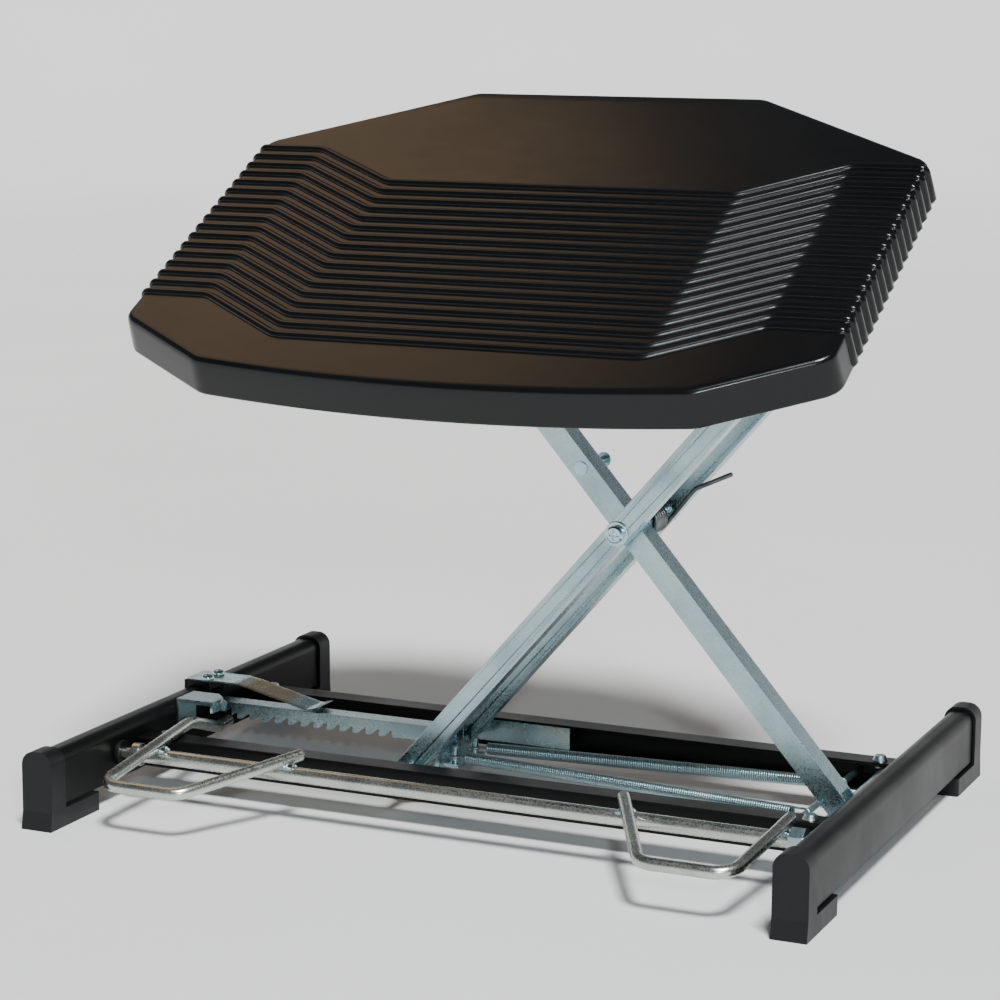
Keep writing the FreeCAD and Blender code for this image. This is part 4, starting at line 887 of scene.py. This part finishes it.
class FOOTREST_OT_stage(bpy.types.Operator):
    """Pale floor, soft studio lights and the camera"""

    bl_idname = "footrest.stage"
    bl_label = "Stage"

    def execute(self, context):
        floor = self.backdrop(context)
        f = Finish("floor_white")
        f.colour(f.ramp(f.noise(2.0), [(0.3, (0.80, 0.80, 0.80)), (0.7, (0.83, 0.83, 0.83))]))
        f.set(roughness=0.9, specular=0.1)
        floor.data.materials.append(f.material)
        self.sun((0.30, -0.35, 0.89), 14.0, 4.6)
        self.lamp("warm", (-2.25, 1.55, 3.2), (0.0, 0.0, 0.35), 1.7, 10.5, (1.0, 0.66, 0.36))
        self.lamp("glint", (0.98, -1.75, 0.86), (0.1, 0.0, 0.4), 0.10, 13.0, (0.84, 0.97, 1.0))
        world = bpy.data.worlds.new("studio")
        world.use_nodes = True
        nodes, links = world.node_tree.nodes, world.node_tree.links
        coords = nodes.new("ShaderNodeTexCoord")
        split = nodes.new("ShaderNodeSeparateXYZ")
        ramp = nodes.new("ShaderNodeValToRGB")
        ramp.color_ramp.elements[0].position = 0.0
        ramp.color_ramp.elements[0].color = (0.30, 0.31, 0.33, 1.0)
        ramp.color_ramp.elements[1].position = 0.7
        ramp.color_ramp.elements[1].color = (0.10, 0.105, 0.11, 1.0)
        links.new(coords.outputs["Generated"], split.inputs["Vector"])
        links.new(split.outputs["Z"], ramp.inputs["Fac"])
        links.new(ramp.outputs["Color"], nodes["Background"].inputs["Color"])
        nodes["Background"].inputs["Strength"].default_value = 1.0
        context.scene.world = world
        self.camera(context)
        return {"FINISHED"}

    def backdrop(self, context):
        """Pale floor that curves up all round: (r cos a, r sin a, z), flat to 5 m and then an arc of 3 m."""
        bend = np.linspace(0.0, math.radians(72.0), 19)
        r = np.concatenate([[0.001, 1.0, 3.0], 5.0 + 3.0 * np.sin(bend)])
        z = np.concatenate([[0.0, 0.0, 0.0], 3.0 * (1.0 - np.cos(bend))])
        sides = 96
        points = revolved(np.stack([r, z], axis=1), sides)
        faces = grid_faces(len(r), sides, wrap_columns=True)
        mesh = bpy.data.meshes.new("floor")
        mesh.from_pydata(points.reshape(-1, 3).tolist(), [], faces.tolist())
        mesh.polygons.foreach_set("use_smooth", np.ones(len(mesh.polygons), dtype=bool))
        mesh.update()
        floor = bpy.data.objects.new("floor", mesh)
        context.scene.collection.objects.link(floor)
        return floor

    def sun(self, towards, spread, strength):
        """Broad sun that lights the whole floor evenly."""
        light = bpy.data.lights.new("key", "SUN")
        light.angle = math.radians(spread)
        light.energy = strength
        self.aim(light, (0.0, 0.0, 0.0), np.array(towards, float))

    def lamp(self, name, place, target, size, power, colour):
        """Square soft light aimed at a point."""
        light = bpy.data.lights.new(name, "AREA")
        light.color = colour
        light.size = size
        light.energy = power
        self.aim(light, place, np.array(place) - np.array(target))

    def aim(self, light, place, away):
        """Puts a light at a place, shining against the given direction."""
        piece = bpy.data.objects.new(light.name, light)
        away = unit(away)
        right = unit(np.cross([0.0, 0.0, 1.0], away))
        piece.matrix_world = framed(right, np.cross(away, right), away, place)
        bpy.context.scene.collection.objects.link(piece)

    def camera(self, context):
        """Long lens to the right of the front, a little above the tray."""
        yaw, pitch, roll = math.radians(24.02), math.radians(10.22), math.radians(0.35)
        right = np.array([math.cos(yaw), math.sin(yaw), 0.0])
        level = math.cos(pitch)
        back = np.array([math.sin(yaw) * level, -math.cos(yaw) * level, math.sin(pitch)])
        up = np.cross(back, right)
        turned = right * math.cos(roll) + up * math.sin(roll)
        raised = np.cross(back, turned)
        lens = bpy.data.cameras.new("camera")
        lens.lens = 100.7
        lens.sensor_width = 36.0
        lens.clip_end = 50.0
        piece = bpy.data.objects.new("camera", lens)
        place = (0.7134, -1.634, 0.5234)
        piece.matrix_world = framed(turned, raised, back, place)
        context.scene.collection.objects.link(piece)
        context.scene.camera = piece


OPERATORS = (FOOTREST_OT_tray, FOOTREST_OT_pedals, FOOTREST_OT_springs, FOOTREST_OT_base,
             FOOTREST_OT_scissor, FOOTREST_OT_rack, FOOTREST_OT_carrier, FOOTREST_OT_stage)


class FOOTREST_PT_panel(bpy.types.Panel):
    """Sizes, colours and pieces of the footrest"""

    bl_idname = "FOOTREST_PT_panel"
    bl_label = "Footrest"
    bl_space_type = "VIEW_3D"
    bl_region_type = "UI"
    bl_category = "Footrest"

    def draw(self, context):
        scene = context.scene
        for group in (scene.footrest_tray, scene.footrest_metal, scene.footrest_colours):
            box = self.layout.box()
            for name in group.bl_rna.properties.keys():
                if name not in ("rna_type", "name"):
                    box.prop(group, name)
        for operator in OPERATORS:
            self.layout.operator(operator.bl_idname)


CLASSES = (FootrestTray, FootrestMetal, FootrestColours) + OPERATORS + (FOOTREST_PT_panel,)


def register():
    for cls in CLASSES:
        bpy.utils.register_class(cls)
    bpy.types.Scene.footrest_tray = PointerProperty(type=FootrestTray)
    bpy.types.Scene.footrest_metal = PointerProperty(type=FootrestMetal)
    bpy.types.Scene.footrest_colours = PointerProperty(type=FootrestColours)


def unregister():
    del bpy.types.Scene.footrest_colours
    del bpy.types.Scene.footrest_metal
    del bpy.types.Scene.footrest_tray
    for cls in reversed(CLASSES):
        bpy.utils.unregister_class(cls)


def main():
    """Makes every piece."""
    register()
    for operator in OPERATORS:
        group, name = operator.bl_idname.split(".")
        getattr(getattr(bpy.ops, group), name)()
    bpy.context.view_layer.update()


if __name__ == "__main__":
    main()
